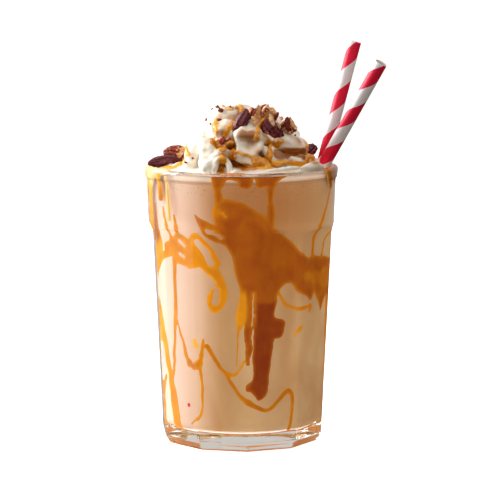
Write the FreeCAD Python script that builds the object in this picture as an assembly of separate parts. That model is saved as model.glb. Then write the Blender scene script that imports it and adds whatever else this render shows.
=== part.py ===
import FreeCAD, Part
import math
import os

# A milkshake in a ten-panelled tumbler, with whipped cream, pecans and two paper straws.
# Millimetres, +Z up. The origin is the middle of the glass's underside.
# Angles around the glass are in degrees, 0 at the front (-Y), growing towards +X.

# Glass, outside. The body is round at the top and has flat panels below the shoulder.
glassHeight = 131.2
beadRadius = 45.2            # the rolled rim, its widest radius
beadHeight = 5.5
beadRound = 1.2              # rounding of the bead's edges
neckRadius = 44.6            # round body, just under the bead
shoulderRadius = 43.7        # corner radius where the panels run out
shoulderDrop = 31.7          # from the rim down to where the panels run out
footRadius = 39.0            # corner radius above the bottom bevel
bevelHeight = 4.1
bevelDepth = 2.55
panelCount = 10
panelTurn = 4.6              # angle of the first corner between panels
panelRunOut = 6.0            # radius with which a panel curves out at its top

# Glass, inside.
cornerWallLow = 4.6          # thickness at the corners, just above the floor
cornerWallHigh = 3.4         # thickness just under the bead
floorThickness = 8.0
floorRound = 4.0             # rounding between floor and wall
lipFlare = 1.2               # how far the mouth widens within the bead
lipRound = 1.0

# Drink and cream.
fillDrop = 5.7               # the drink's level, below the rim
skirtRise = 1.6              # top of the cream at the wall, above the rim
creamGap = 0.06              # between the cream and the inner wall
moundRadius = 29.0
moundShift = 3.5             # the foot of the mound lies this far towards +X
peakShift = -4.0             # the peak lies towards -X
moundHeight = 28.6           # the peak, above the rim
tierHeight = 7.6             # one turn of the piped swirl
tierDepth = 2.6
creamSides = 60
creamRows = 30

# Paper straws, hollow, both leaning on the rim at +X and crossing there.
strawRadius = 3.0
strawWall = 0.35
strawLength = 186.0
strawGap = 0.3               # between a straw and the rim, the wall or the floor

# Pecans: a whole half kernel, and how coarse its facets are.
pecanSides = 16
pecanRows = 9

# Where each straw leans on the rim, and where its foot is: angle, height above the floor and
# distance in from the wall. The front one's foot is wedged against the wall.
strawPlaces = {
    "straw_front": {"rimAngle": 81.3, "footAngle": 219.0, "footLift": 13.4, "footInset": 3.4},
    "straw_back": {"rimAngle": 98.7, "footAngle": 130.0, "footLift": 1.1, "footInset": 25.9},
}

# Each lump of cream: angle around, height above the rim, reach sideways and up, push outwards.
creamLumps = [
    {"angle": 66, "height": 11.0, "wide": 24, "tall": 4.2, "push": 4.6},     # big right fold
    {"angle": 44, "height": 5.2, "wide": 15, "tall": 2.6, "push": 4.4},      # fold below it
    {"angle": 56, "height": 8.0, "wide": 20, "tall": 1.3, "push": -3.2},     # crease between them
    {"angle": 8, "height": 9.5, "wide": 17, "tall": 4.4, "push": 5.0},       # front scoop
    {"angle": 26, "height": 7.0, "wide": 6, "tall": 6.0, "push": -3.4},      # channel right of it
    {"angle": -24, "height": 9.0, "wide": 6, "tall": 5.0, "push": -2.6},     # channel left of it
    {"angle": -16, "height": 6.0, "wide": 9, "tall": 2.0, "push": 3.6},      # small curl
    {"angle": -16, "height": 1.5, "wide": 11, "tall": 2.0, "push": 3.2},     # curl at the rim
    {"angle": -48, "height": 7.0, "wide": 6, "tall": 5.0, "push": -3.0},     # crease at the left
    {"angle": 5, "height": 2.5, "wide": 9, "tall": 2.0, "push": -3.0},       # hollow for sauce
    {"angle": 30, "height": 16.5, "wide": 26, "tall": 3.4, "push": -2.6},    # hollow under the nuts
    {"angle": -78, "height": 23.0, "wide": 34, "tall": 3.6, "push": 3.6},    # upper left tier
    {"angle": -80, "height": 15.0, "wide": 40, "tall": 3.0, "push": 1.0},    # middle left tier
    {"angle": 190, "height": 9.0, "wide": 24, "tall": 4.6, "push": 4.0},     # big fold at the back
    {"angle": 150, "height": 14.0, "wide": 16, "tall": 3.4, "push": -2.4},   # hollow beside it
    {"angle": 130, "height": 5.0, "wide": 16, "tall": 2.8, "push": 3.4},     # low fold at the back
    {"angle": 235, "height": 4.0, "wide": 15, "tall": 2.6, "push": 3.0},     # its neighbour
]

# Each nut: where it sits on the cream's skin (along it from the drink's level to the peak, and
# the angle around), how far its middle stands off the skin, its size, and how it is turned
# (lean, spin and roll in degrees). A broken one keeps only the share of its length given as kept.
nutPlaces = {
    "pecan_rim_high": {"along": 0.255, "angle": -86.7, "stand": 3.6, "size": (15.0, 7.6, 6.0),
                       "turn": (-4, -10, -20), "kept": 0.75},
    "pecan_half": {"along": 0.670, "angle": 1.1, "stand": -0.1, "size": (15.5, 8.6, 6.2),
                   "turn": (62, 22, 25), "kept": 1.0},
    "pecan_piece_back": {"along": 0.711, "angle": 29.8, "stand": -1.0, "size": (15.5, 6.6, 6.0),
                         "turn": (72, 10, -30), "kept": 0.75},
    "pecan_piece_top": {"along": 0.688, "angle": 54.6, "stand": 2.6, "size": (13.0, 8.0, 6.0),
                        "turn": (52, -10, 20), "kept": 0.62},
    "pecan_piece_middle": {"along": 0.570, "angle": 38.6, "stand": 2.0, "size": (16.0, 9.4, 7.4),
                           "turn": (-58, 12, -10), "kept": 0.8},
    "pecan_shard": {"along": 0.574, "angle": 59.6, "stand": 2.0, "size": (15.0, 7.4, 5.2),
                    "turn": (34, -24, 30), "kept": 0.66},
    "pecan_front": {"along": 0.490, "angle": -19.9, "stand": 1.8, "size": (8.6, 5.4, 4.8),
                    "turn": (64, 5, 0), "kept": 0.75},
    "pecan_side": {"along": 0.366, "angle": 106.4, "stand": -0.2, "size": (8.6, 5.6, 5.0),
                   "turn": (40, 20, 0), "kept": 0.8},
}

# The slim half that lies over the rim: its middle is this far in from the bead and above it.
rimNutName = "pecan_rim_low"
rimNut = {"angle": -77.7, "inset": 7.7, "lift": 2.2, "size": (15.5, 5.6, 4.6),
          "turn": (7, 8, -40), "kept": 1.0}


def ringPoint(radius, angle, height):
    """The point at an angle around the glass."""
    turn = math.radians(angle)
    return FreeCAD.Vector(radius * math.sin(turn), -radius * math.cos(turn), height)


def wallSlope():
    """How fast the inner wall widens with height."""
    low = footRadius + (shoulderRadius - footRadius) * (floorThickness + floorRound) \
        / (glassHeight - shoulderDrop) - cornerWallLow
    high = neckRadius - cornerWallHigh
    return low, high, (high - low) / (glassHeight - beadHeight - floorThickness - floorRound)


def wallRadius(height):
    """Inner radius of the glass at a height between the floor's rounding and the rim."""
    low, high, slope = wallSlope()
    beadFoot = glassHeight - beadHeight
    if height <= beadFoot:
        return low + slope * (height - floorThickness - floorRound)
    return high + lipFlare * (height - beadFoot) / beadHeight


def profileFace(corners):
    """A flat face in the X-Z plane. A corner is (radius, height, rounding)."""
    edges = []
    starts = []
    ends = []
    count = len(corners)
    for index, (radius, height, rounding) in enumerate(corners):
        here = FreeCAD.Vector(radius, 0, height)
        before = FreeCAD.Vector(corners[index - 1][0], 0, corners[index - 1][1])
        after = FreeCAD.Vector(corners[(index + 1) % count][0], 0, corners[(index + 1) % count][1])
        if rounding == 0:
            starts.append(here)
            ends.append(here)
            continue
        inward = (before - here).normalize()
        outward = (after - here).normalize()
        half = inward.getAngle(outward) / 2
        reach = rounding / math.tan(half)
        middle = (inward + outward).normalize()
        start = here + inward * reach
        end = here + outward * reach
        peak = here + middle * (rounding / math.sin(half) - rounding)
        edges.append(Part.Arc(start, peak, end).toShape())
        starts.append(start)
        ends.append(end)
    for index in range(count):
        edges.append(Part.makeLine(ends[index], starts[(index + 1) % count]))
    return Part.Face(Part.Wire(Part.__sortEdges__(edges)))


def revolved(corners):
    return profileFace(corners).revolve(FreeCAD.Vector(0, 0, 0), FreeCAD.Vector(0, 0, 1), 360)


def cavity(top):
    """What the glass holds, from its floor up to a height."""
    low, high, slope = wallSlope()
    beadFoot = glassHeight - beadHeight
    corners = [(0, floorThickness, 0), (low - slope * floorRound, floorThickness, floorRound)]
    if top > beadFoot:
        corners.append((high, beadFoot, 0))
    corners.append((wallRadius(top), top, 0))
    corners.append((0, top, 0))
    return revolved(corners)


def panelCutter(angle):
    """Everything outside one flat panel, as a prism with the panel's profile from the side."""
    flat = math.cos(math.pi / panelCount)
    shoulder = glassHeight - shoulderDrop
    slope = (shoulderRadius - footRadius) / (shoulder - bevelHeight) * flat
    tilt = math.atan(slope)
    foot = FreeCAD.Vector((footRadius - bevelDepth) * flat, 0, 0)
    bevel = FreeCAD.Vector(footRadius * flat, 0, bevelHeight)
    top = FreeCAD.Vector(shoulderRadius * flat, 0, shoulder)
    centre = top + FreeCAD.Vector(math.cos(tilt), 0, -math.sin(tilt)) * panelRunOut
    middle = math.radians(45)
    swing = centre + FreeCAD.Vector(-math.cos(middle), 0, math.sin(middle)) * panelRunOut
    runOut = centre + FreeCAD.Vector(0, 0, panelRunOut)
    outside = beadRadius * 2
    below = FreeCAD.Vector(foot.x, 0, -bevelHeight)
    edges = [Part.makeLine(below, foot), Part.makeLine(foot, bevel), Part.makeLine(bevel, top),
             Part.Arc(top, swing, runOut).toShape(),
             Part.makeLine(runOut, FreeCAD.Vector(outside, 0, runOut.z)),
             Part.makeLine(FreeCAD.Vector(outside, 0, runOut.z), FreeCAD.Vector(outside, 0, below.z)),
             Part.makeLine(FreeCAD.Vector(outside, 0, below.z), below)]
    halfWidth = shoulderRadius * math.tan(math.pi / panelCount) + bevelHeight / 2
    face = Part.Face(Part.Wire(edges))
    face.translate(FreeCAD.Vector(0, -halfWidth, 0))
    prism = face.extrude(FreeCAD.Vector(0, 2 * halfWidth, 0))
    prism.rotate(FreeCAD.Vector(0, 0, 0), FreeCAD.Vector(0, 0, 1), angle - 90)
    return prism


def makeGlass():
    """The tumbler: a turned body with its bead, less ten panels and the inside."""
    beadFoot = glassHeight - beadHeight
    shoulder = glassHeight - shoulderDrop
    body = revolved([
        (0, 0, 0),
        (footRadius - bevelDepth, 0, 0),
        (footRadius, bevelHeight, 0),
        (shoulderRadius, shoulder, 0),
        (neckRadius, beadFoot, 0),
        (beadRadius, beadFoot + beadRound / 2, beadRound / 2),
        (beadRadius, glassHeight, beadRound),
        (wallRadius(glassHeight), glassHeight, lipRound),
        (neckRadius - cornerWallHigh, beadFoot, 0),
        (0, beadFoot, 0),
    ])
    for panel in range(panelCount):
        body = body.cut(panelCutter(panelTurn + (panel + 0.5) * 360 / panelCount))
    return body.cut(cavity(beadFoot))


def strawAxis(place):
    """Foot point and direction of a straw that stands on the floor and leans on the rim."""
    lipHeight = glassHeight - lipRound
    footHeight = floorThickness + place["footLift"]
    foot = ringPoint(wallRadius(footHeight) - place["footInset"], place["footAngle"], footHeight)
    tilt = 0.0
    for _ in range(6):
        reach = wallRadius(lipHeight) - strawRadius / math.cos(tilt) - strawGap
        rim = ringPoint(reach, place["rimAngle"], lipHeight)
        direction = (rim - foot).normalize()
        tilt = direction.getAngle(FreeCAD.Vector(0, 0, 1))
    return foot, direction


def strawCore(place):
    """The straw's outer cylinder, as the space that it takes."""
    foot, direction = strawAxis(place)
    return Part.makeCylinder(strawRadius, strawLength, foot, direction)


def makeStraw(place):
    foot, direction = strawAxis(place)
    bore = Part.makeCylinder(strawRadius - strawWall, strawLength, foot, direction)
    return strawCore(place).cut(bore)


def facetSolid(rows, bottom, top):
    """A closed solid of triangles over rings of points, with a point closing each end."""
    sides = len(rows[0])
    points = [point for row in rows for point in row] + [bottom, top]
    lowest = len(points) - 2
    highest = len(points) - 1
    facets = []
    for column in range(sides):
        beside = (column + 1) % sides
        facets.append((lowest, beside, column))
        last = (len(rows) - 1) * sides
        facets.append((highest, last + column, last + beside))
        for row in range(len(rows) - 1):
            here = row * sides
            above = here + sides
            facets.append((here + column, here + beside, above + beside))
            facets.append((here + column, above + beside, above + column))
    shape = Part.Shape()
    shape.makeShapeFromMesh((points, facets), 0.001, True)
    solid = Part.makeSolid(shape.Shells[0])
    if solid.Volume < 0:
        solid.reverse()
    return solid


def lumpPush(angle, height):
    """Sum of the cream's lumps at an angle and a height above the rim."""
    push = 0.0
    for lump in creamLumps:
        apart = (angle - lump["angle"] + 180) % 360 - 180
        push += lump["push"] * math.exp(-(apart / lump["wide"]) ** 2
                                        - ((height - lump["height"]) / lump["tall"]) ** 2)
    return push


def creamPoint(along, angle):
    """The cream's skin: up the wall, over the skirt, then up the mound with its swirl."""
    level = glassHeight - fillDrop
    skirtTop = glassHeight + skirtRise
    onWall = 0.14
    onSkirt = 0.30
    if along < onWall:
        height = level + (glassHeight - lipRound - level) * along / onWall
        return ringPoint(wallRadius(height) - creamGap, angle, height)
    wall = wallRadius(glassHeight - lipRound) - creamGap
    if along < onSkirt:
        share = (along - onWall) / (onSkirt - onWall)
        radius = wall + (moundRadius + 1.5 - wall) * share
        height = glassHeight - lipRound + (skirtTop + 1.0 - glassHeight + lipRound) \
            * math.sin(share * math.pi / 2) ** 0.8
        wave = share * (0.9 * math.sin(math.radians(angle * 5)) + 0.6 * math.sin(math.radians(angle * 3 + 40)))
        push = lumpPush(angle, height - glassHeight) * share
        point = ringPoint(radius + push * 0.6, angle, height + wave + push * 0.3)
        return point + FreeCAD.Vector(moundShift * share, 0, 0)
    share = (along - onSkirt) / (1 - onSkirt)
    rise = math.sin(share * math.pi / 2) ** 1.15
    radius = (moundRadius + 1.5) * (1 - rise ** 1.6) ** 0.72
    height = skirtTop + 1.0 + (moundHeight - skirtRise - 1.0) * rise
    turns = (height - skirtTop) / tierHeight + angle / 360 + 0.15
    leftward = 0.55 - 0.45 * math.sin(math.radians(angle))
    fade = min(1.0, share * 6) * (1 - rise ** 4) * leftward
    tier = tierDepth * (abs(math.sin(math.pi * turns)) ** 0.7 - 0.55) * fade
    push = lumpPush(angle, height - glassHeight)
    shift = moundShift + (peakShift - moundShift) * rise ** 1.5
    fold = 0.9 * math.sin(math.radians(angle * 4 + 60 * rise)) * fade
    point = ringPoint(max(radius + tier + push + fold, 0.4), angle, height + push * 0.25)
    return point + FreeCAD.Vector(shift, 0, 0)


def makeCream(cutters):
    """Whipped cream from the drink's level up, cut round the straws and the nuts."""
    level = glassHeight - fillDrop
    rows = []
    for row in range(creamRows):
        along = row / creamRows
        rows.append([creamPoint(along, side * 360 / creamSides) for side in range(creamSides)])
    peak = FreeCAD.Vector(peakShift, 0, glassHeight + moundHeight)
    cream = facetSolid(rows, FreeCAD.Vector(0, 0, level), peak)
    for cutter in cutters:
        cream = cream.cut(cutter)
    return max(cream.Solids, key=lambda solid: solid.Volume)


def makeMilkshake(cutters):
    """The drink, from the floor up to its level, cut round the straws."""
    shake = cavity(glassHeight - fillDrop)
    for cutter in cutters:
        shake = shake.cut(cutter)
    return shake


def skinNormal(along, angle):
    """Which way the cream's skin faces."""
    step = 0.001
    up = creamPoint(along + step, angle) - creamPoint(along - step, angle)
    around = creamPoint(along, angle + 0.5) - creamPoint(along, angle - 0.5)
    return around.cross(up).normalize()


def nutMiddle(place):
    """Where a nut's middle is: off the cream's skin, or over the rim."""
    if "inset" in place:
        return ringPoint(beadRadius - place["inset"], place["angle"], glassHeight + place["lift"])
    seat = creamPoint(place["along"], place["angle"])
    return seat + skinNormal(place["along"], place["angle"]) * place["stand"]


def makeNut(place):
    """Half a pecan: a long ridged dome with a groove along its back and a flat face below."""
    length, width, depth = place["size"]
    lean, spin, roll = place["turn"]
    rows = []
    for row in range(1, pecanRows):
        along = place["kept"] * row / (pecanRows - (place["kept"] < 1))
        swell = math.sin(math.pi * along) ** 0.5
        ring = []
        for side in range(pecanSides):
            turn = 2 * math.pi * side / pecanSides
            up = math.sin(turn)
            across = math.cos(turn)
            ridge = 1 + 0.10 * math.cos(6 * turn + math.pi) + 0.06 * math.sin(7 * math.pi * along + turn)
            groove = 0.30 * math.exp(-(across / 0.28) ** 2) * (up > 0)
            flat = 0.55 if up < 0 else 1.0
            ring.append(FreeCAD.Vector(length * (along - 0.5),
                                       -width / 2 * swell * across * ridge,
                                       depth * 0.62 * swell * up * flat * (ridge - groove)))
        rows.append(ring)
    tip = FreeCAD.Vector(length * (place["kept"] - 0.5), 0, 0)
    nut = facetSolid(rows, FreeCAD.Vector(-length / 2, 0, 0), tip)
    nut.translate(FreeCAD.Vector(length * (1 - place["kept"]) / 2, 0, 0))
    origin = FreeCAD.Vector(0, 0, 0)
    nut.rotate(origin, FreeCAD.Vector(1, 0, 0), 90 + roll)
    nut.rotate(origin, FreeCAD.Vector(0, 1, 0), -lean)
    nut.rotate(origin, FreeCAD.Vector(0, 0, 1), spin)
    nut.translate(nutMiddle(place))
    return nut


def buildAll():
    os.makedirs("parts", exist_ok=True)
    nodes = {"glass": makeGlass()}
    straws = [strawCore(place) for place in strawPlaces.values()]
    nodes["milkshake"] = makeMilkshake(straws)
    for name, place in strawPlaces.items():
        nodes[name] = makeStraw(place)
    taken = list(straws)
    for name, place in [(rimNutName, rimNut)] + list(nutPlaces.items()):
        nodes[name] = makeNut(place)
        taken.append(nodes[name])
    nodes["whipped_cream"] = makeCream(taken)
    for name, shape in nodes.items():
        shape.exportStep("parts/" + name + ".step")
        print(name, len(shape.Solids), len(shape.Faces), round(shape.Volume), shape.isValid())


buildAll()
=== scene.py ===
import bpy
import bmesh
import numpy as np
from mathutils import Euler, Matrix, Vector
from mathutils.bvhtree import BVHTree


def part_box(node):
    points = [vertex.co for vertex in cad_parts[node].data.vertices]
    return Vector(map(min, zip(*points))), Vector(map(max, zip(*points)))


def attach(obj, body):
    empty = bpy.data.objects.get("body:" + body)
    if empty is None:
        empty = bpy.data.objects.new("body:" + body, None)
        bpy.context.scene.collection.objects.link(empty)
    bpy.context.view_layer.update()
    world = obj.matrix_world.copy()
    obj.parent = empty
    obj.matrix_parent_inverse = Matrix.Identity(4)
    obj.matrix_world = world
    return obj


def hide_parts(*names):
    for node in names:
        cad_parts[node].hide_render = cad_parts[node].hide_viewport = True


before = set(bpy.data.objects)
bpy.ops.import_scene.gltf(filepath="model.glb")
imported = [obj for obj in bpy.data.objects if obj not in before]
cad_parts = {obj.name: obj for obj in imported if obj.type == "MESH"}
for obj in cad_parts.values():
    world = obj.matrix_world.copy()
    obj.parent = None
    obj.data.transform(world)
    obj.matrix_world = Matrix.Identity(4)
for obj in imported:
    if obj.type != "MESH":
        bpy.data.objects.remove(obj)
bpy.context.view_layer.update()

mm = 0.001          # sizes below are in millimetres, and a mesh is turned into metres as it is made


def corners(node):
    # lowest and highest corner of a CAD node, in millimetres
    low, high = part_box(node)
    return np.array(low) / mm, np.array(high) / mm


glassLow, glassHigh = corners("glass")
rimHeight = glassHigh[2]
beadRadius = (glassHigh[1] - glassLow[1]) / 2
drinkLevel = corners("milkshake")[1][2]
floorTop = corners("milkshake")[0][2]


def softMin(a, b, width):
    # the smaller of two, with the crease between them rounded over a width
    share = np.clip(width - np.abs(a - b), 0, None) / width
    return np.minimum(a, b) - share * share * width / 4


def smoothStep(low, high, value):
    share = np.clip((value - low) / (high - low), 0, 1)
    return share * share * (3 - 2 * share)


def valueNoise(points, size, seed):
    # smooth noise from -1 to 1: random numbers at the corners of cubes of a size, blended between
    table = np.random.default_rng(seed).uniform(-1, 1, (32, 32, 32))
    scaled = np.asarray(points, float) / size + 100.0
    cell = np.floor(scaled).astype(int)
    part = scaled - cell
    part = part * part * (3 - 2 * part)
    total = np.zeros(len(scaled))
    for corner in range(8):
        step = np.array([corner & 1, corner >> 1 & 1, corner >> 2 & 1])
        weight = np.prod(np.where(step == 1, part, 1 - part), axis=1)
        index = (cell + step) % 32
        total += weight * table[index[:, 0], index[:, 1], index[:, 2]]
    return total


def smoothPath(points, count):
    # an even curve through given points: cubic pieces whose slopes come from the neighbours
    points = np.asarray(points, float)
    padded = np.vstack([2 * points[0] - points[1], points, 2 * points[-1] - points[-2]])
    place = np.linspace(0, len(points) - 1 - 1e-9, count)
    index = place.astype(int)
    t = (place - index)[:, None]
    a, b, c, d = (padded[index + k] for k in range(4))
    return 0.5 * (2 * b + (c - a) * t + (2 * a - 5 * b + 4 * c - d) * t ** 2
                  + (3 * b - a - 3 * c + d) * t ** 3)


def gridQuads(rows, columns, roundRows=False, roundColumns=True):
    # faces between neighbouring points of a grid stored row by row
    r = np.arange(rows if roundRows else rows - 1)[:, None]
    c = np.arange(columns if roundColumns else columns - 1)[None, :]
    below = r * columns
    above = (r + 1) % rows * columns
    beside = (c + 1) % columns
    return np.stack([below + c, below + beside, above + beside, above + c], -1).reshape(-1, 4)


def closedGrid(points):
    # a grid of rings with its first and last ring drawn together to a point
    rows, columns = points.shape[:2]
    flat = points.reshape(-1, 3)
    ends = np.array([points[0].mean(0), points[-1].mean(0)])
    quads = gridQuads(rows, columns)
    column = np.arange(columns)
    beside = (column + 1) % columns
    first = np.stack([np.full(columns, len(flat)), beside, column], -1)
    last = np.stack([np.full(columns, len(flat) + 1), (rows - 1) * columns + column,
                     (rows - 1) * columns + beside], -1)
    return np.vstack([flat, ends]), quads.tolist() + first.tolist() + last.tolist()


def setSmooth(mesh, smooth=True):
    mesh.polygons.foreach_set("use_smooth", np.full(len(mesh.polygons), smooth))


def makeMesh(name, points, faces, outward=True):
    mesh = bpy.data.meshes.new(name)
    mesh.from_pydata((np.asarray(points) * mm).tolist(), [], faces)
    if outward:
        work = bmesh.new()
        work.from_mesh(mesh)
        bmesh.ops.recalc_face_normals(work, faces=work.faces)
        work.to_mesh(mesh)
        work.free()
    setSmooth(mesh)
    return mesh


def readVectors(items, name):
    values = np.empty(len(items) * 3)
    items.foreach_get(name, values)
    return values.reshape(-1, 3)


def addObject(name, data):
    made = bpy.data.objects.new(name, data)
    bpy.context.scene.collection.objects.link(made)
    return made


def addPiece(name, mesh, material, replaced=()):
    piece = addObject(name, mesh)
    mesh.materials.append(material)
    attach(piece, "root")
    if replaced:
        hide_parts(*replaced)
    print(name, "done,", len(mesh.polygons), "faces")


def setAttribute(mesh, name, values):
    attribute = mesh.attributes.new(name, "FLOAT", "POINT")
    attribute.data.foreach_set("value", np.asarray(values, np.float32))


def joinParts(parts):
    # several (points, faces) as one
    points, faces, offset = [], [], 0
    for somePoints, someFaces in parts:
        points.append(somePoints)
        faces += [[index + offset for index in face] for face in someFaces]
        offset += len(somePoints)
    return np.vstack(points), faces


def srgb(red, green, blue):
    # a colour given as 0 to 255 as the eye sees it, turned into the linear one that shaders use
    value = np.array([red, green, blue]) / 255
    linear = np.where(value <= 0.04045, value / 12.92, ((value + 0.055) / 1.055) ** 2.4)
    return (*linear.tolist(), 1.0)


class Shader:
    # the node tree of a material or a world, with short ways to add nodes and join them

    def __init__(self, name, kind="materials"):
        self.owner = getattr(bpy.data, kind).new(name)
        self.owner.use_nodes = True
        self.tree = self.owner.node_tree

    def feed(self, node, socket, value):
        target = node.inputs[socket.replace("_", " ") if isinstance(socket, str) else socket]
        if isinstance(value, bpy.types.NodeSocket):
            self.tree.links.new(value, target)
        else:
            target.default_value = value

    def node(self, kind, numbered=(), settings=None, **named):
        # a node, its sockets fed by number and by name
        made = self.tree.nodes.new(kind)
        for key, value in (settings or {}).items():
            setattr(made, key, value)
        for socket, value in [*enumerate(numbered), *named.items()]:
            self.feed(made, socket, value)
        return made

    def set(self, **named):
        for socket, value in named.items():
            self.feed(self.tree.nodes["Principled BSDF"], socket, value)

    def place(self):
        return self.node("ShaderNodeTexCoord").outputs["Object"]

    def attribute(self, name):
        return self.node("ShaderNodeAttribute", settings={"attribute_name": name}).outputs["Fac"]

    def stretched(self, vector, scale):
        return self.node("ShaderNodeMapping", Vector=vector, Scale=scale).outputs[0]

    def distance(self, vector, point):
        made = self.node("ShaderNodeVectorMath", (vector, point), {"operation": "DISTANCE"})
        return made.outputs["Value"]

    def noise(self, scale, detail, vector=None, distortion=0.0):
        made = self.node("ShaderNodeTexNoise", Scale=scale, Detail=detail, Distortion=distortion,
                         Vector=self.place() if vector is None else vector)
        return made.outputs["Fac"]

    def dots(self, scale, radius):
        # 1 within a radius of scattered points, 0 elsewhere
        cells = self.node("ShaderNodeTexVoronoi", Vector=self.place(), Scale=scale)
        return self.maths("LESS_THAN", cells.outputs[0], radius)

    def maths(self, operation, *values):
        return self.node("ShaderNodeMath", values, {"operation": operation}).outputs[0]

    def times(self, value, factor, plus=0.0):
        return self.maths("MULTIPLY_ADD", value, factor, plus)

    def plus(self, first, second):
        return self.maths("ADD", first, second)

    def ramp(self, value, *stops):
        # colours at places from 0 to 1; a plain number stands for a grey
        made = self.node("ShaderNodeValToRGB", (value,))
        elements = made.color_ramp.elements
        while len(elements) < len(stops):
            elements.new(0.5)
        for element, (position, colour) in zip(elements, stops):
            element.position = position
            element.color = colour if isinstance(colour, tuple) else (colour, colour, colour, 1)
        return made.outputs["Color"]

    def mix(self, share, first, second, blend="MIX"):
        made = self.node("ShaderNodeMix", (share,), {"data_type": "RGBA", "blend_type": blend})
        self.feed(made, 6, first)
        self.feed(made, 7, second)
        return made.outputs[2]

    def bump(self, height, distance, strength):
        made = self.node("ShaderNodeBump", Height=height, Distance=distance, Strength=strength)
        return made.outputs["Normal"]


glassShape = {
    "panels": 10, "panelTurn": 4.6, "columnsPerPanel": 32, "crowding": 0.8,
    "footRadius": 39.0, "shoulderRadius": 43.7, "neckRadius": 44.6,
    "bevelHeight": 4.1, "bevelDepth": 2.55, "footSoft": 0.9,
    "shoulderDrop": 31.7, "runOut": 6.0, "beadHeight": 5.5,
    "bevelSoft": 0.5, "cornerSoft": 0.55, "seamSoft": 0.5, "seamGap": 0.12,
    "beadSoft": 1.7, "beadUnder": 0.9, "lipSoft": 1.3,
    "innerFoot": 34.97, "innerNeck": 41.2, "lipFlare": 1.2, "floorRound": 4.0, "punt": 1.1,
}
beadFoot = rimHeight - glassShape["beadHeight"]
shoulder = rimHeight - glassShape["shoulderDrop"]


def innerRadius(height):
    # the inner wall: a straight cone, a flare in the bead, and a quarter round at the floor
    g = glassShape
    foot = floorTop + g["floorRound"]
    cone = g["innerFoot"] + (g["innerNeck"] - g["innerFoot"]) * (height - foot) / (beadFoot - foot)
    flare = g["innerNeck"] + g["lipFlare"] * (height - beadFoot) / g["beadHeight"]
    radius = np.where(height > beadFoot, flare, cone)
    below = np.clip(foot - height, 0, g["floorRound"])
    return radius - g["floorRound"] + np.sqrt(g["floorRound"] ** 2 - below ** 2)


def outerRadius(angle, height):
    # the body: the smaller of a round cone and the nearest flat panels, with softened edges
    g = glassShape
    slope = (g["shoulderRadius"] - g["footRadius"]) / (shoulder - g["bevelHeight"])
    wall = g["footRadius"] + slope * (height - g["bevelHeight"])
    bevel = g["footRadius"] - g["bevelDepth"] * (1 - height / g["bevelHeight"])
    corner = softMin(wall, bevel, g["bevelSoft"])
    neck = g["shoulderRadius"] + (g["neckRadius"] - g["shoulderRadius"]) \
        * (height - shoulder) / (beadFoot - shoulder)
    body = np.where(height > shoulder, neck, corner + g["seamGap"])
    above = np.clip(height - shoulder, 0, g["runOut"] * 0.999)
    flat = corner * np.cos(np.pi / g["panels"]) + g["runOut"] - np.sqrt(g["runOut"] ** 2 - above ** 2)
    flat = flat + np.clip(height - shoulder - g["runOut"], 0, None)
    width = 2 * np.pi / g["panels"]
    swing = (angle - np.radians(g["panelTurn"])) % width - width / 2
    here = flat / np.cos(swing)
    beside = flat / np.cos(width - np.abs(swing))
    panel = softMin(here, beside, g["cornerSoft"])
    return softMin(panel, body, g["seamSoft"])


def aroundAngles():
    # angles closer together at the corners between panels
    g = glassShape
    count = g["columnsPerPanel"]
    share = np.arange(g["panels"] * count) / count
    bent = share - g["crowding"] * np.sin(2 * np.pi * share) / (2 * np.pi)
    return np.radians(g["panelTurn"]) + bent * 2 * np.pi / g["panels"]


def ring(angle, radius, height):
    # angle 0 faces the front (-Y) and grows towards +X
    return np.stack([radius * np.sin(angle), -radius * np.cos(angle), height + 0 * angle], -1)


def arcPoints(centre, radius, start, end, count):
    turn = np.radians(np.linspace(start, end, count))
    return np.stack([centre[0] + radius * np.cos(turn), centre[1] + radius * np.sin(turn)], -1)


def beadArc(name, start, end, count):
    # one of the three rounded edges of the bead, as (radius, height)
    g = glassShape
    under, soft, lip = g["beadUnder"], g["beadSoft"], g["lipSoft"]
    centre, radius = {
        "under": ((beadRadius - under, beadFoot + 1.0), under),
        "top": ((beadRadius - soft, rimHeight - soft), soft),
        "lip": ((g["innerNeck"] + g["lipFlare"] + lip, rimHeight - lip), lip),
    }[name]
    return arcPoints(centre, radius, start, end, count)


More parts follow.
